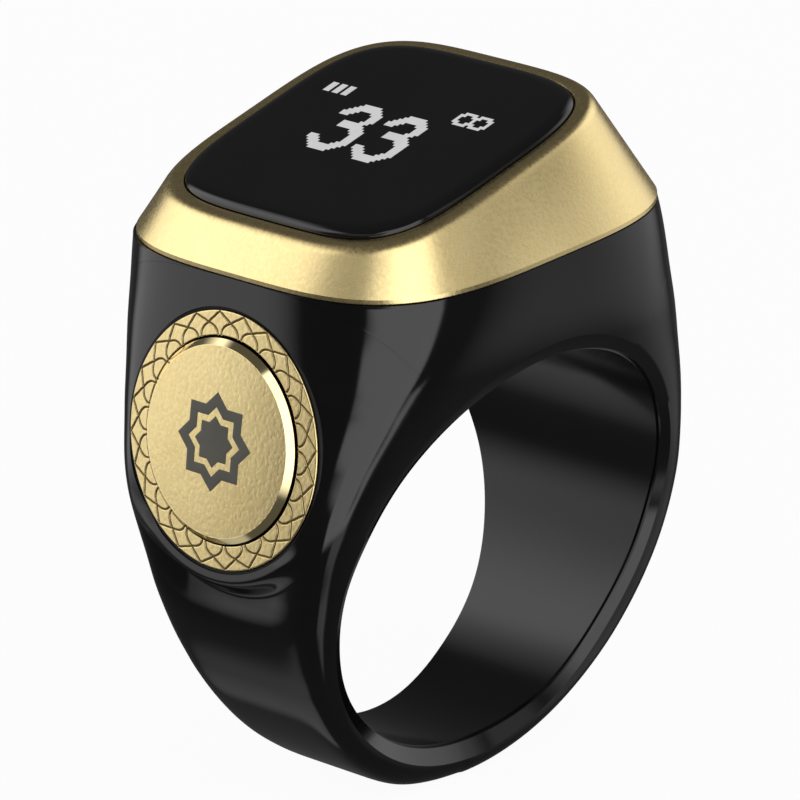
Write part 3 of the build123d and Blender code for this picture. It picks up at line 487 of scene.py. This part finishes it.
def linerPiece():
    # a thin tube whose ends follow the flanks: angle by length, with the inlay's window left out
    shape = linerShape
    half, window = math.radians(shape["openHalf"]), shape["openY"]
    turn = np.concatenate([np.linspace(math.pi / 2 - half, math.pi / 2 + half, shape["topCount"]),
                           np.linspace(math.pi / 2 + half, 2.5 * math.pi - half, shape["restCount"])[1:-1]])
    end = np.interp(turn, shellAngle, lipBack, period=2 * math.pi)[:, None] - shape["gap"]
    share, outside = np.linspace(-1, 1, shape["windowCount"]), np.array(shape["outside"])
    # lengths that keep to the window's edges, passing into even lengths where the tube is short
    kept = np.concatenate([-window - (end - window) * outside, share * window * np.ones((len(turn), 1)),
                           window + (end - window) * outside[::-1]], axis=1)
    cols = kept.shape[1]
    even = np.linspace(-1, 1, cols)
    mix = smoothStep(end, window + shape["evenFade"][0], window + shape["evenFade"][1])
    y = mix * np.where(end < window + shape["narrow"], even * end, kept) + (1 - mix) * even * end
    y[:shape["topCount"]] = kept[:shape["topCount"]]
    c, s = np.cos(turn)[:, None], np.sin(turn)[:, None]
    inner = np.stack([shape["inner"] * c + 0 * y, y, shape["inner"] * s + 0 * y], -1)
    outer = np.stack([shape["outer"] * c + 0 * y, y, shape["outer"] * s + 0 * y], -1)
    # cells of the window: its last row, and its first and last column
    lastRow, first, last = shape["topCount"] - 1, len(outside), len(outside) + len(share) - 1
    isTop = np.zeros((len(turn), cols - 1), bool)
    isTop[:lastRow, first:last] = True
    faces = gridFaces(len(turn), cols, True, False)[~isTop.reshape(-1)]
    count, far = len(turn) * cols, cols - 1
    k = np.arange(len(turn)) * cols
    k2 = np.roll(k, -1)
    endA = np.stack([k, k2, k2 + count, k + count], -1)
    endB = np.stack([k + far, k + far + count, k2 + far + count, k2 + far], -1)
    ring = np.concatenate([np.arange(lastRow) * cols + first, lastRow * cols + np.arange(first, last),
                           np.arange(lastRow, 0, -1) * cols + last, np.arange(last, first, -1)])
    nextOne = np.roll(ring, -1)
    hole = np.stack([ring, ring + count, nextOne + count, nextOne], -1)
    points = np.concatenate([inner.reshape(-1, 3), outer.reshape(-1, 3)])
    return points, [faces, faces[:, ::-1] + count, endA, endB, hole]


linerPoints, linerFaces = linerPiece()
putPiece("fingerLiner", linerPoints, linerFaces, linerDark, "ring", ("inner_liner",), sharp=40.0)

# gold wedge under the glass
bezelShape = {
    "rimLevel": 14.94, "rimShift": -1.26, "rimHalf": (10.178, 9.93), "rimPower": 3.46, "rimSlope": 0.0093, "count": 400,
    "lipLevel": 18.23, "lipShift": 3.07, "lipHalf": (8.14, 8.14), "lipPower": 3.92, "lipRound": 0.42, "lipFlat": 0.3,
    "lipCount": 11, "openHalf": (7.43, 7.37), "openPower": 4.13,
    # growth of the outline and lift at each ring: the skirt, the foot of the side, the opening and the hollow below
    "skirt": ((-0.45, 0.2), (-0.2, 0.2), (-0.2, 0.03), (-0.05, 0.03), (-0.02, 0.06), (-0.02, 0.23)),
    "sideFoot": (-0.02, 0.25), "sideShares": (0.0, 0.03, 0.1, 0.3, 0.5, 0.7, 0.9),
    "opening": ((0.06, 0.0), (0.015, -0.02), (0.0, -0.07), (0.0, -0.9), (-0.9, -0.9)),
    "below": ((-1.4, 0.7), (-1.4, 0.2)),
}


def rimLoop(turn, grow, lift):
    # the rim's rounded square, grown and lifted, rising a little along its slope
    b = bezelShape
    d = superRadius(turn, b["rimHalf"][0] + grow, b["rimHalf"][1] + grow, b["rimPower"])
    origin = np.array([0, 0, b["rimLevel"]]) + rimRight * b["rimShift"]
    along = d * np.cos(turn)
    height = lift + (along - b["rimHalf"][0]) * b["rimSlope"]
    return onPlane(origin, rimRight, acrossFinger, rimUp, along, d * np.sin(turn), height)


faceMiddle = faceUp * bezelShape["lipLevel"] + faceRight * bezelShape["lipShift"]


def faceLoop(turn, half, power, lift):
    # a rounded square on the display's plane
    d = superRadius(turn, half[0], half[1], power)
    height = lift * np.ones_like(turn)
    return onPlane(faceMiddle, faceRight, acrossFinger, faceUp, d * np.cos(turn), d * np.sin(turn), height)


def bezelRings():
    # straight lines from the rim's rounded square to the lip's, a rounded lip, and a wall down to the glass seat
    b = bezelShape
    turn = np.linspace(0, 2 * math.pi, b["count"], endpoint=False)
    low = rimLoop(turn, *b["sideFoot"])
    high = faceLoop(turn, b["lipHalf"], b["lipPower"], 0.0)
    side = high - low
    length = np.linalg.norm(side, axis=1)[:, None]
    stop = high - side / length * b["lipRound"]
    flat = faceLoop(turn, np.array(b["lipHalf"]) - b["lipFlat"], b["lipPower"], 0.0)
    openHalf = np.array(b["openHalf"])
    rings = [rimLoop(turn, grow, lift) for grow, lift in b["skirt"]]
    rings += [low + (stop - low) * t for t in b["sideShares"]]
    rings += [(1 - t) ** 2 * stop + 2 * t * (1 - t) * high + t**2 * flat for t in np.linspace(0, 1, b["lipCount"])]
    rings += [faceLoop(turn, openHalf + grow, b["openPower"], lift) for grow, lift in b["opening"]]
    rings += [rimLoop(turn, grow, lift) for grow, lift in b["below"]]
    return np.array(rings)


bezelPoints, bezelFaces = ringsPiece(bezelRings())
putPiece("bezelFrame", bezelPoints, bezelFaces, goldPlain, "ring", ("bezel",), sharp=24.0)

# gasket between bezel and shell: a stepped band whose outer edge is the dark line under the gold
gasketShape = {
    "steps": ((-1.3, -0.05), (-0.06, -0.05), (-0.06, 0.025), (-0.23, 0.025), (-0.23, 0.18), (-1.3, 0.18)), "count": 400,
}
gasketTurn = np.linspace(0, 2 * math.pi, gasketShape["count"], endpoint=False)
gasketPoints, gasketFaces = ringsPiece([rimLoop(gasketTurn, grow, lift) for grow, lift in gasketShape["steps"]])
putPiece("bezelGasket", gasketPoints, gasketFaces, sealRubber, "ring", ("bezel_gasket",), sharp=35.0)

# black glass with a rounded edge
glassShape = {
    "half": (7.38, 7.32), "power": 4.13, "bottom": -0.78, "top": 0.32, "edgeWide": 0.7, "edgeHigh": 0.3,
    "edgeCount": 13, "wallInset": (0.6, 0.1, 0.0, 0.0), "wallEase": 0.1, "topInset": (1.2, 2.6, 4.4, 6.2), "count": 400,
}


def glassRings():
    # the outline carried up its wall, over a quarter ellipse and in to the middle
    g = glassShape
    turn = np.linspace(0, 2 * math.pi, g["count"], endpoint=False)
    bend = np.radians(np.linspace(0, 90, g["edgeCount"]))
    inset = np.concatenate([g["wallInset"], g["edgeWide"] * (1 - np.cos(bend)), g["topInset"]])
    bottom, top, ease = g["bottom"], g["top"], g["wallEase"]
    lift = np.concatenate([[bottom, bottom, bottom + ease, top - g["edgeHigh"] - ease],
                           top - g["edgeHigh"] * (1 - np.sin(bend)), [top] * len(g["topInset"])])
    return np.array([faceLoop(turn, np.array(g["half"]) - i, g["power"], h) for i, h in zip(inset, lift)])


glassPoints, glassFaces = ringsPiece(glassRings(), faceMiddle + faceUp * glassShape["bottom"],
                                     faceMiddle + faceUp * glassShape["top"])
putPiece("coverGlass", glassPoints, glassFaces, glassDark, "ring", ("cover_glass",), sharp=40.0)

# lit marks of the display: a count, three charge bars and an endless sign
displayShape = {
    "digits": {"start": (-3.13, -2.11), "cell": (0.1733, 0.1808), "nextDigit": 16},
    "bars": {"start": (-5.40, 2.12), "cell": (0.1815, 0.191)},
    "sign": {"start": (2.46, 2.057), "cell": (0.18, 0.1785)},
    "proud": 0.006, "sunk": 0.02,
}
threeRows = (
    "....######....", "...########...", "..##########..", ".####....####.", "####......###.", "###.......###.",
    "..........###.", ".........###..", "....#######...", "....########..", "....#########.", ".........#####",
    "..........####", "...........###", "...........###", "...........###", "###........###", "####......####",
    ".####....####.", "..##########..", "...########...", "....######....")
signRows = (".####.####.", "##..###..##", "#....#....#", "#....#....#", "##..###..##", ".####.####.")
barRows = ("##.##.##",) * 4


def litCells(rows, place, shift=0):
    # near corner and size of each lit cell on the face, text running along -Y and rising up the slope
    mask = np.array([list(row) for row in rows]) == "#"
    j, i = np.nonzero(mask[::-1])
    (startS, startT), (wide, high) = place["start"], place["cell"]
    return np.stack([startS + (i + shift) * wide, startT + j * high, wide + 0 * i, high + 0 * j], -1)


def displayMarks():
    # one closed box per lit cell, its corners added to all the cells at once
    digits = displayShape["digits"]
    cells = np.concatenate([litCells(threeRows, digits), litCells(threeRows, digits, digits["nextDigit"]),
                            litCells(barRows, displayShape["bars"]), litCells(signRows, displayShape["sign"])])
    s, t, wide, high = cells.T
    ds, dt = wide[:, None] * np.array([0, 1, 1, 0] * 2), high[:, None] * np.array([0, 0, 1, 1] * 2)
    top = glassShape["top"]
    dh = np.array([top - displayShape["sunk"]] * 4 + [top + displayShape["proud"]] * 4)
    u, v = t[:, None] + dt, -(s[:, None] + ds)
    points = onPlane(faceMiddle, faceRight, acrossFinger, faceUp, u, v, dh + 0 * u)
    corners = np.array([[0, 3, 2, 1], [4, 5, 6, 7], [0, 1, 5, 4], [1, 2, 6, 5], [2, 3, 7, 6], [3, 0, 4, 7]])
    faces = (np.arange(len(s)) * 8)[:, None, None] + corners
    return points.reshape(-1, 3), faces.reshape(-1, 4)


markPoints, markFaces = displayMarks()
putPiece("displayMarks", markPoints, markFaces, pixelLight, "ring", sharp=30.0)

# button ring with its engraved scales
ringShape = {
    "inner": 4.65, "outer": 5.77, "innerProud": 0.06, "outerProud": 0.01, "seat": 0.55, "edge": 0.05, "edgeBreak": 0.3,
    "seatIn": 0.25, "seatEase": 0.1, "paintedShadeGap": 0.02, "around": 1440, "across": 46,
    "repeats": 24, "phase": 0.53, "tip": 0.95, "lineHalf": 0.046, "lineSides": (0.5, 1.25), "lineDepth": 0.04,
    # how far an arch has leaned out, in pitches, by height from its foot to its tip
    "lean": ((0, 0.92), (0.094, 0.912), (0.264, 0.855), (0.434, 0.695), (0.558, 0.5), (0.679, 0.36), (0.792, 0.22),
             (0.906, 0.10), (1, 0)),
    "leanStep": 0.01,
}


def scaleLines(q, turn):
    # distance to the nearest pointed arch, whose sides follow the lean table from the tip down to the foot
    r = ringShape
    wide = r["outer"] - r["inner"]
    v = (q - r["inner"]) / wide
    pitch = 2 * math.pi / r["repeats"]
    cell = turn / pitch - r["phase"]
    share = np.clip(v / r["tip"], 0, 1)
    lean = smoothTable(share, r["lean"])
    step = r["leanStep"]
    rate = (smoothTable(share + step, r["lean"]) - smoothTable(share - step, r["lean"])) / (2 * step)
    slope = rate / (r["tip"] * wide) * pitch * q
    gap = np.full(q.shape, np.inf)
    for k in (-1, 0, 1):
        away = np.abs(cell - np.round(cell) - k)
        gap = np.minimum(gap, np.abs(away - lean) * pitch * q / np.sqrt(1 + slope**2))
    over = np.maximum(v - r["tip"], 0) * wide
    tipGap = np.hypot(np.abs(cell - np.round(cell)) * pitch * q, over)
    return np.where(v > r["tip"], tipGap, gap)


def buttonRing():
    # a flat ring that falls a little outward, its arches sunk by the groove's share of the line depth
    r = ringShape
    turn = np.linspace(0, 2 * math.pi, r["around"], endpoint=False)
    inner, outer, edge, seat = r["inner"], r["outer"], r["edge"], -r["seat"]
    face, turns = np.meshgrid(np.linspace(inner + edge, outer - edge, r["across"]), turn, indexing="ij")
    sideLow, sideHigh = r["lineSides"]
    groove = 1 - smoothStep(scaleLines(face, turns), r["lineHalf"] * sideLow, r["lineHalf"] * sideHigh)
    top = r["innerProud"] + (r["outerProud"] - r["innerProud"]) * (face - inner) / (outer - inner)
    # distance, height and painted shade down the inner and the outer edge; below a small gap under each edge the walls
    # are painted near black as shade
    soft, low = edge * r["edgeBreak"], seat + r["seatEase"]
    innerTop, outerTop = r["innerProud"] - edge, r["outerProud"] - edge
    inside = np.array([[inner + r["seatIn"], seat, 1], [inner, low, 1], [inner, innerTop - r["paintedShadeGap"], 1],
                       [inner, innerTop, 0], [inner + soft, r["innerProud"] - soft, 0]])
    outside = np.array([[outer - soft, r["outerProud"] - soft, 0], [outer, outerTop, 0],
                        [outer, outerTop - r["paintedShadeGap"], 1], [outer, low, 1], [outer - r["seatIn"], seat, 1]])
    one = np.ones(r["around"])
    dist = np.concatenate([inside[:, :1] * one, face, outside[:, :1] * one])
    high = np.concatenate([inside[:, 1:2] * one, top - r["lineDepth"] * groove, outside[:, 1:2] * one])
    paintedShade = np.concatenate([inside[:, 2:] * one, 0 * face, outside[:, 2:] * one])
    mark = np.concatenate([0 * inside[:, :1] * one, groove, 0 * outside[:, :1] * one])
    points = onPlane(padCentre, acrossFinger, padUp, padOut, dist * np.sin(turn), dist * np.cos(turn), high)
    return points, mark, paintedShade


ringPoints, ringMark, ringPaintedShade = buttonRing()
putPiece("buttonRing", ringPoints, gridFaces(*ringPoints.shape[:2], True, True), goldEngraved, "ring",
         ("button_ring",), sharp=50.0, values={"groove": ringMark, "paintedShade": ringPaintedShade})

# push button
capShape = {
    "radius": 4.56, "proud": 0.41, "dome": 0.15, "chamfer": 0.27, "depth": 0.3, "count": 288, "paintedShadeGap": 0.02,
    "backInner": 0.8, "backRound": (0.1, 0.08), "faceIn": 0.04, "faceInner": 0.4, "faceRows": 16,
}


def domeHeight(q):
    # the face is a shallow dome over the chamfer's upper edge
    return capShape["proud"] + capShape["dome"] * (1 - (q / (capShape["radius"] - capShape["chamfer"])) ** 2)


def capRows():
    # distance, height, polish and painted shade down the middle of the cap; the back and the wall below the chamfer are
    # painted near black as shade
    c = capShape
    radius, edge, back = c["radius"], c["radius"] - c["chamfer"], -c["depth"]
    roundIn, roundUp = c["backRound"]
    wallTop = c["proud"] - c["chamfer"]
    face = np.linspace(edge - c["faceIn"], c["faceInner"], c["faceRows"])
    wall = [(c["backInner"], back, 0, 1), (radius - roundIn, back, 0, 1), (radius, back + roundUp, 0, 1),
            (radius, wallTop - c["paintedShadeGap"], 0, 1), (radius, wallTop, 1, 0), (edge, c["proud"], 1, 0)]
    return np.concatenate([wall, np.stack([face, domeHeight(face), 0 * face, 0 * face], -1)])


capProfile = capRows()
# polish and painted shade for every point of the cap
capPolish, capPaintedShade = np.repeat(capProfile[:, 2:], capShape["count"], axis=0).T
capPoints, capFaces = ringsPiece(spun(capProfile[:, :2], capShape["count"]), padCentre - capShape["depth"] * padOut,
                                 padCentre + domeHeight(0.0) * padOut)
# the back's pole gets the painted shade, the face's pole is plain
capValues = {"polish": np.append(capPolish, [0, 0]), "paintedShade": np.append(capPaintedShade, [1, 0])}
putPiece("buttonCap", capPoints, capFaces, goldCap, "button", ("button_cap",), sharp=25.0,
         values=capValues)

# star on the cap: an outer band and a smaller star within it, each ring a share of the size and a lift
starShape = {"size": 2.25, "count": 320, "sunk": -0.02, "proud": 0.008, "ease": 0.002}


def starRings(shares):
    # the edge of two crossed squares at each share of its size, lying on the domed face
    turn = np.linspace(0, 2 * math.pi, starShape["count"], endpoint=False)
    local = (turn + math.pi / 8) % (math.pi / 4) - math.pi / 8
    edge = starShape["size"] * math.cos(math.pi / 4) / np.cos(math.pi / 4 - np.abs(local))
    made = []
    for share, lift in shares:
        q = share * edge
        height = domeHeight(q) + lift
        made.append(onPlane(padCentre, acrossFinger, padUp, padOut, q * np.cos(turn), q * np.sin(turn), height))
    return np.array(made)


sunk, proud = starShape["sunk"], starShape["proud"]
low = proud - starShape["ease"]
starBand = ((1.0, sunk), (1.0, low), (0.995, proud), (0.9, proud), (0.8, proud), (0.705, proud), (0.70, low),
            (0.70, sunk))
starPoints, starFaces = ringsPiece(starRings(starBand))
putPiece("capStar", starPoints, starFaces, starPaint, "button", sharp=30.0)
heartBand = ((0.52, sunk), (0.52, low), (0.515, proud), (0.4, proud), (0.25, proud), (0.1, proud))
heartPoints, heartFaces = ringsPiece(starRings(heartBand), padCentre + (domeHeight(0.0) + sunk) * padOut,
                                     padCentre + (domeHeight(0.0) + proud) * padOut)
putPiece("capStarHeart", heartPoints, heartFaces, starPaint, "button", sharp=30.0)

# carried-over nodes take the finish of their slot
slotLooks = {
    "shell_black": shellBlack, "liner_dark": linerDark, "champagne_gold": goldPlain, "dark_glass": glassDark,
    "contact_gold": plainFinish("contactGold", (0.72, 0.56, 0.24), (0.80, 0.63, 0.30), 1.0, 0.22, 2500.0, 0.000003),
    "magnet_steel": plainFinish("magnetSteel", (0.46, 0.46, 0.47), (0.54, 0.54, 0.55), 1.0, 0.3, 1800.0, 0.000004),
    "seal_rubber": sealRubber,
    "tape_black": plainFinish("tapeBlack", (0.006, 0.006, 0.006), (0.01, 0.01, 0.01), 0.0, 0.6, 2200.0, 0.00001),
    "clear_bond": plainFinish("clearBond", (0.02, 0.02, 0.022), (0.03, 0.03, 0.032), 0.0, 0.2, 800.0, 0.000002),
    "flex_amber": plainFinish("flexAmber", (0.42, 0.19, 0.03), (0.52, 0.25, 0.05), 0.0, 0.32, 900.0, 0.000004),
    "frame_grey": plainFinish("frameGrey", (0.07, 0.07, 0.075), (0.10, 0.10, 0.105), 0.0, 0.5, 1700.0, 0.000008),
    "screw_steel": plainFinish("screwSteel", (0.55, 0.55, 0.56), (0.64, 0.64, 0.65), 1.0, 0.25, 2400.0, 0.000003),
    "board_green": plainFinish("boardGreen", (0.012, 0.07, 0.03), (0.02, 0.10, 0.045), 0.0, 0.38, 1300.0, 0.000006),
    "chip_black": plainFinish("chipBlack", (0.012, 0.012, 0.013), (0.02, 0.02, 0.021), 0.0, 0.55, 3000.0, 0.000006),
    "antenna_white": plainFinish("antennaWhite", (0.66, 0.65, 0.60), (0.74, 0.73, 0.68), 0.0, 0.4, 1500.0, 0.000004),
    "passive_tan": plainFinish("passiveTan", (0.36, 0.25, 0.14), (0.46, 0.33, 0.2), 0.0, 0.45, 2600.0, 0.000004),
    "cell_foil": plainFinish("cellFoil", (0.58, 0.59, 0.60), (0.70, 0.71, 0.72), 1.0, 0.38, 700.0, 0.00002),
    "bush_brass": plainFinish("bushBrass", (0.60, 0.44, 0.16), (0.68, 0.51, 0.21), 1.0, 0.3, 1800.0, 0.000004),
    "coil_copper": plainFinish("coilCopper", (0.58, 0.24, 0.11), (0.68, 0.30, 0.15), 1.0, 0.35, 2200.0, 0.000006),
}
for part in frame["record"]["subparts"]:
    carried = frame["nodes"][part["node"]].data
    carried.materials.clear()
    carried.materials.append(slotLooks[part["material_slot"]])
print("finishes on", len(frame["nodes"]), "nodes")

# a pale floor that turns up into a round backdrop
floorShape = {
    "level": -11.56, "inner": (60.0, 200.0), "flat": 900.0, "bend": 500.0, "bendCount": 13, "wall": 900.0, "count": 96,
    "share": 0.95, "colour": (0.92, 0.92, 0.92, 1), "rough": 0.9,
}


def floorRings():
    # a disc, a quarter circle and a wall, turned round the upright axis
    f = floorShape
    bend = np.radians(np.linspace(0, 90, f["bendCount"]))
    r = np.concatenate([f["inner"], f["flat"] + f["bend"] * np.sin(bend), [f["flat"] + f["bend"]]])
    z = np.concatenate([[0.0, 0.0], f["bend"] * (1 - np.cos(bend)), [f["bend"] + f["wall"]]]) + f["level"]
    turn = np.linspace(0, 2 * math.pi, f["count"], endpoint=False)
    return np.stack([r[:, None] * np.cos(turn), r[:, None] * np.sin(turn), z[:, None] * np.ones(f["count"])], -1)


def floorFinish():
    # matt and pale, with most of what the camera sees given as an even glow
    material, tree, shader = newMaterial("paleFloor")
    shader.inputs["Base Color"].default_value = floorShape["colour"]
    shader.inputs["Roughness"].default_value = floorShape["rough"]
    shader.inputs["Specular IOR Level"].default_value = 0.0
    glow = node(tree, "ShaderNodeEmission", Strength=1.0)
    path = node(tree, "ShaderNodeLightPath")
    mirrored = maths(tree, "MAXIMUM", path.outputs["Is Glossy Ray"], path.outputs["Is Transmission Ray"])
    seen = maths(tree, "MAXIMUM", path.outputs["Is Camera Ray"], mirrored)
    joined = node(tree, "ShaderNodeMixShader")
    output = next(n for n in tree.nodes if n.type == "OUTPUT_MATERIAL")
    tree.links.new(maths(tree, "MULTIPLY", seen, floorShape["share"]), joined.inputs["Fac"])
    tree.links.new(shader.outputs[0], joined.inputs[1])
    tree.links.new(glow.outputs[0], joined.inputs[2])
    tree.links.new(joined.outputs[0], output.inputs["Surface"])
    return material


floorGrid = floorRings()
floorMesh = bpy.data.meshes.new("floor")
floorPoints = np.concatenate([floorGrid.reshape(-1, 3), [[0, 0, floorShape["level"]]]])
floorFaces = (gridFaces(*floorGrid.shape[:2], False, True).tolist()
              + fanFaces(0, floorShape["count"], len(floorPoints) - 1)[:, ::-1].tolist())
floorMesh.from_pydata((floorPoints * mm).tolist(), [], floorFaces)
floorMesh.shade_smooth()
floor = bpy.data.objects.new("floor", floorMesh)
scene.collection.objects.link(floor)
# the studio's low panels shine through the floor, and reflections show those panels instead of it
floor.visible_diffuse = floor.visible_glossy = floor.visible_shadow = False
floorMesh.materials.append(floorFinish())
print("floor ready")

# studio light: soft panels by direction, azimuth from the front (-Y) towards +X and elevation, in degrees;
# "across" and "upright" are the two edges and then the softness of each, a lean moves an edge by so much per degree of
# the other angle, and "levels" gives the strength at two elevations; between the panels the light is at its base
panels = {
    "front": {"across": (-49, 4.5, 4, 2.5), "upright": (-39, 9, 4, 4), "levels": ((-40, 2.35), (40, 2.35))},
    "frontTop": {"across": (-58, -1, 4, 6), "upright": (4, 66, 4, 5), "levels": ((0, 2.35), (40, 2.35))},
    "frontLow": {"across": (-76, -38, 3, 3), "upright": (-13, 5, 4, 4), "lowLean": -0.45,
                 "levels": ((-20, 2.35), (10, 2.35))},
    "frontHigh": {"across": (-84, -38, 4, 3), "upright": (44, 66, 4, 5), "levels": ((40, 2.1), (60, 2.1))},
    "frontFoot": {"across": (-20, 18, 4, 4), "upright": (-39.5, -33, 3, 2), "levels": ((-40, 2.3), (-30, 2.3))},
    "frontFloor": {"across": (-12, 22, 5, 6), "upright": (-53, -38, 3, 4), "levels": ((-50, 0.9), (-40, 1.1))},
    "frontSide": {"across": (6, 33, 4, 6), "upright": (19, 66, 4, 5), "levels": ((0, 0.68), (40, 0.68))},
    "leftSide": {"across": (-122, -62, 5, 5), "upright": (22, 50, 4, 5), "levels": ((0, 0.52), (40, 0.52))},
    "leftBack": {"across": (-178, -127, 8, 7), "upright": (-20, 47, 11, 6), "levels": ((-24, 1.15), (33, 2.1))},
    "right": {"across": (44, 96, 20, 14), "upright": (-37, 50, 9, 10), "rightLean": 0.4,
              "levels": ((-30, 0.57), (20, 1.55))},
    "lowBack": {"across": (-190, -134, 6, 12), "upright": (-78, -44.5, 6, 4), "levels": ((-63, 0.60), (-47, 0.37))},
}
lightBase = 0.1


def softEdge(tree, value, start, end):
    # rises smoothly from none at start to one at end
    ramp = node(tree, "ShaderNodeMapRange", interpolation_type="SMOOTHSTEP")
    ramp.inputs["From Min"].default_value, ramp.inputs["From Max"].default_value = start, end
    tree.links.new(value, ramp.inputs["Value"])
    return ramp.outputs["Result"]


def panelLight(tree, panel, azimuth, elevation):
    # four soft edges multiplied together, and by a strength that goes evenly from one level to the other
    left, right, softLeft, softRight = panel["across"]
    low, high, softLow, softHigh = panel["upright"]
    middle, half = (left + right) / 2, (right - left) / 2
    # turned so that the panel's middle is at zero and the far side at plus or minus 180
    ahead = maths(tree, "ADD", maths(tree, "SUBTRACT", azimuth, middle), 900.0)
    turned = maths(tree, "SUBTRACT", maths(tree, "MODULO", ahead, 360.0), 180.0)
    leaned = maths(tree, "SUBTRACT", turned, maths(tree, "MULTIPLY", elevation, panel.get("rightLean", 0.0)))
    raised = maths(tree, "SUBTRACT", elevation, maths(tree, "MULTIPLY", turned, panel.get("lowLean", 0.0)))
    mask = softEdge(tree, turned, -half - softLeft, -half + softLeft)
    mask = maths(tree, "MULTIPLY", mask, softEdge(tree, leaned, half + softRight, half - softRight))
    mask = maths(tree, "MULTIPLY", mask, softEdge(tree, raised, low - softLow, low + softLow))
    mask = maths(tree, "MULTIPLY", mask, softEdge(tree, elevation, high + softHigh, high - softHigh))
    (fromLow, toLow), (fromHigh, toHigh) = panel["levels"]
    return maths(tree, "MULTIPLY", mask, spread(tree, elevation, toLow, toHigh, fromLow, fromHigh))


def studioLight():
    # the brightest panel in each direction
    world = bpy.data.worlds.new("studio")
    world.use_nodes = True
    tree = world.node_tree
    tree.nodes.clear()
    place = node(tree, "ShaderNodeTexCoord")
    parts = node(tree, "ShaderNodeSeparateXYZ")
    tree.links.new(place.outputs["Generated"], parts.inputs[0])
    toDegrees = 180 / math.pi
    forward = maths(tree, "MULTIPLY", parts.outputs[1], -1.0)
    azimuth = maths(tree, "MULTIPLY", maths(tree, "ARCTAN2", parts.outputs[0], forward), toDegrees)
    elevation = maths(tree, "MULTIPLY", maths(tree, "ARCSINE", parts.outputs[2]), toDegrees)
    total = lightBase
    for panel in panels.values():
        total = maths(tree, "MAXIMUM", total, panelLight(tree, panel, azimuth, elevation))
    studio = node(tree, "ShaderNodeBackground")
    tree.links.new(total, studio.inputs["Strength"])
    output = node(tree, "ShaderNodeOutputWorld")
    tree.links.new(studio.outputs[0], output.inputs["Surface"])
    return world


scene.world = studioLight()
print("light ready")

# camera at the photograph's angle
cameraSet = {
    "azimuth": -46.0, "elevation": 17.84, "distance": 335.68, "lens": 335.8, "sensor": 36.0, "clip": (0.01, 10.0),
    "aim": (0.0, 0.0, 5.73), "slide": -0.733,
}
a, e = math.radians(cameraSet["azimuth"]), math.radians(cameraSet["elevation"])
back = Vector((math.sin(a) * math.cos(e), -math.cos(a) * math.cos(e), math.sin(e)))
aim = Vector(cameraSet["aim"]) + cameraSet["slide"] * Vector((math.cos(a), math.sin(a), 0))
cameraData = bpy.data.cameras.new("camera")
cameraData.lens, cameraData.sensor_width = cameraSet["lens"], cameraSet["sensor"]
cameraData.clip_start, cameraData.clip_end = cameraSet["clip"]
camera = bpy.data.objects.new("camera", cameraData)
scene.collection.objects.link(camera)
facing = (-back).to_track_quat("-Z", "Y").to_matrix().to_4x4()
camera.matrix_world = Matrix.Translation((aim + back * cameraSet["distance"]) * mm) @ facing
scene.camera = camera
print("camera ready")
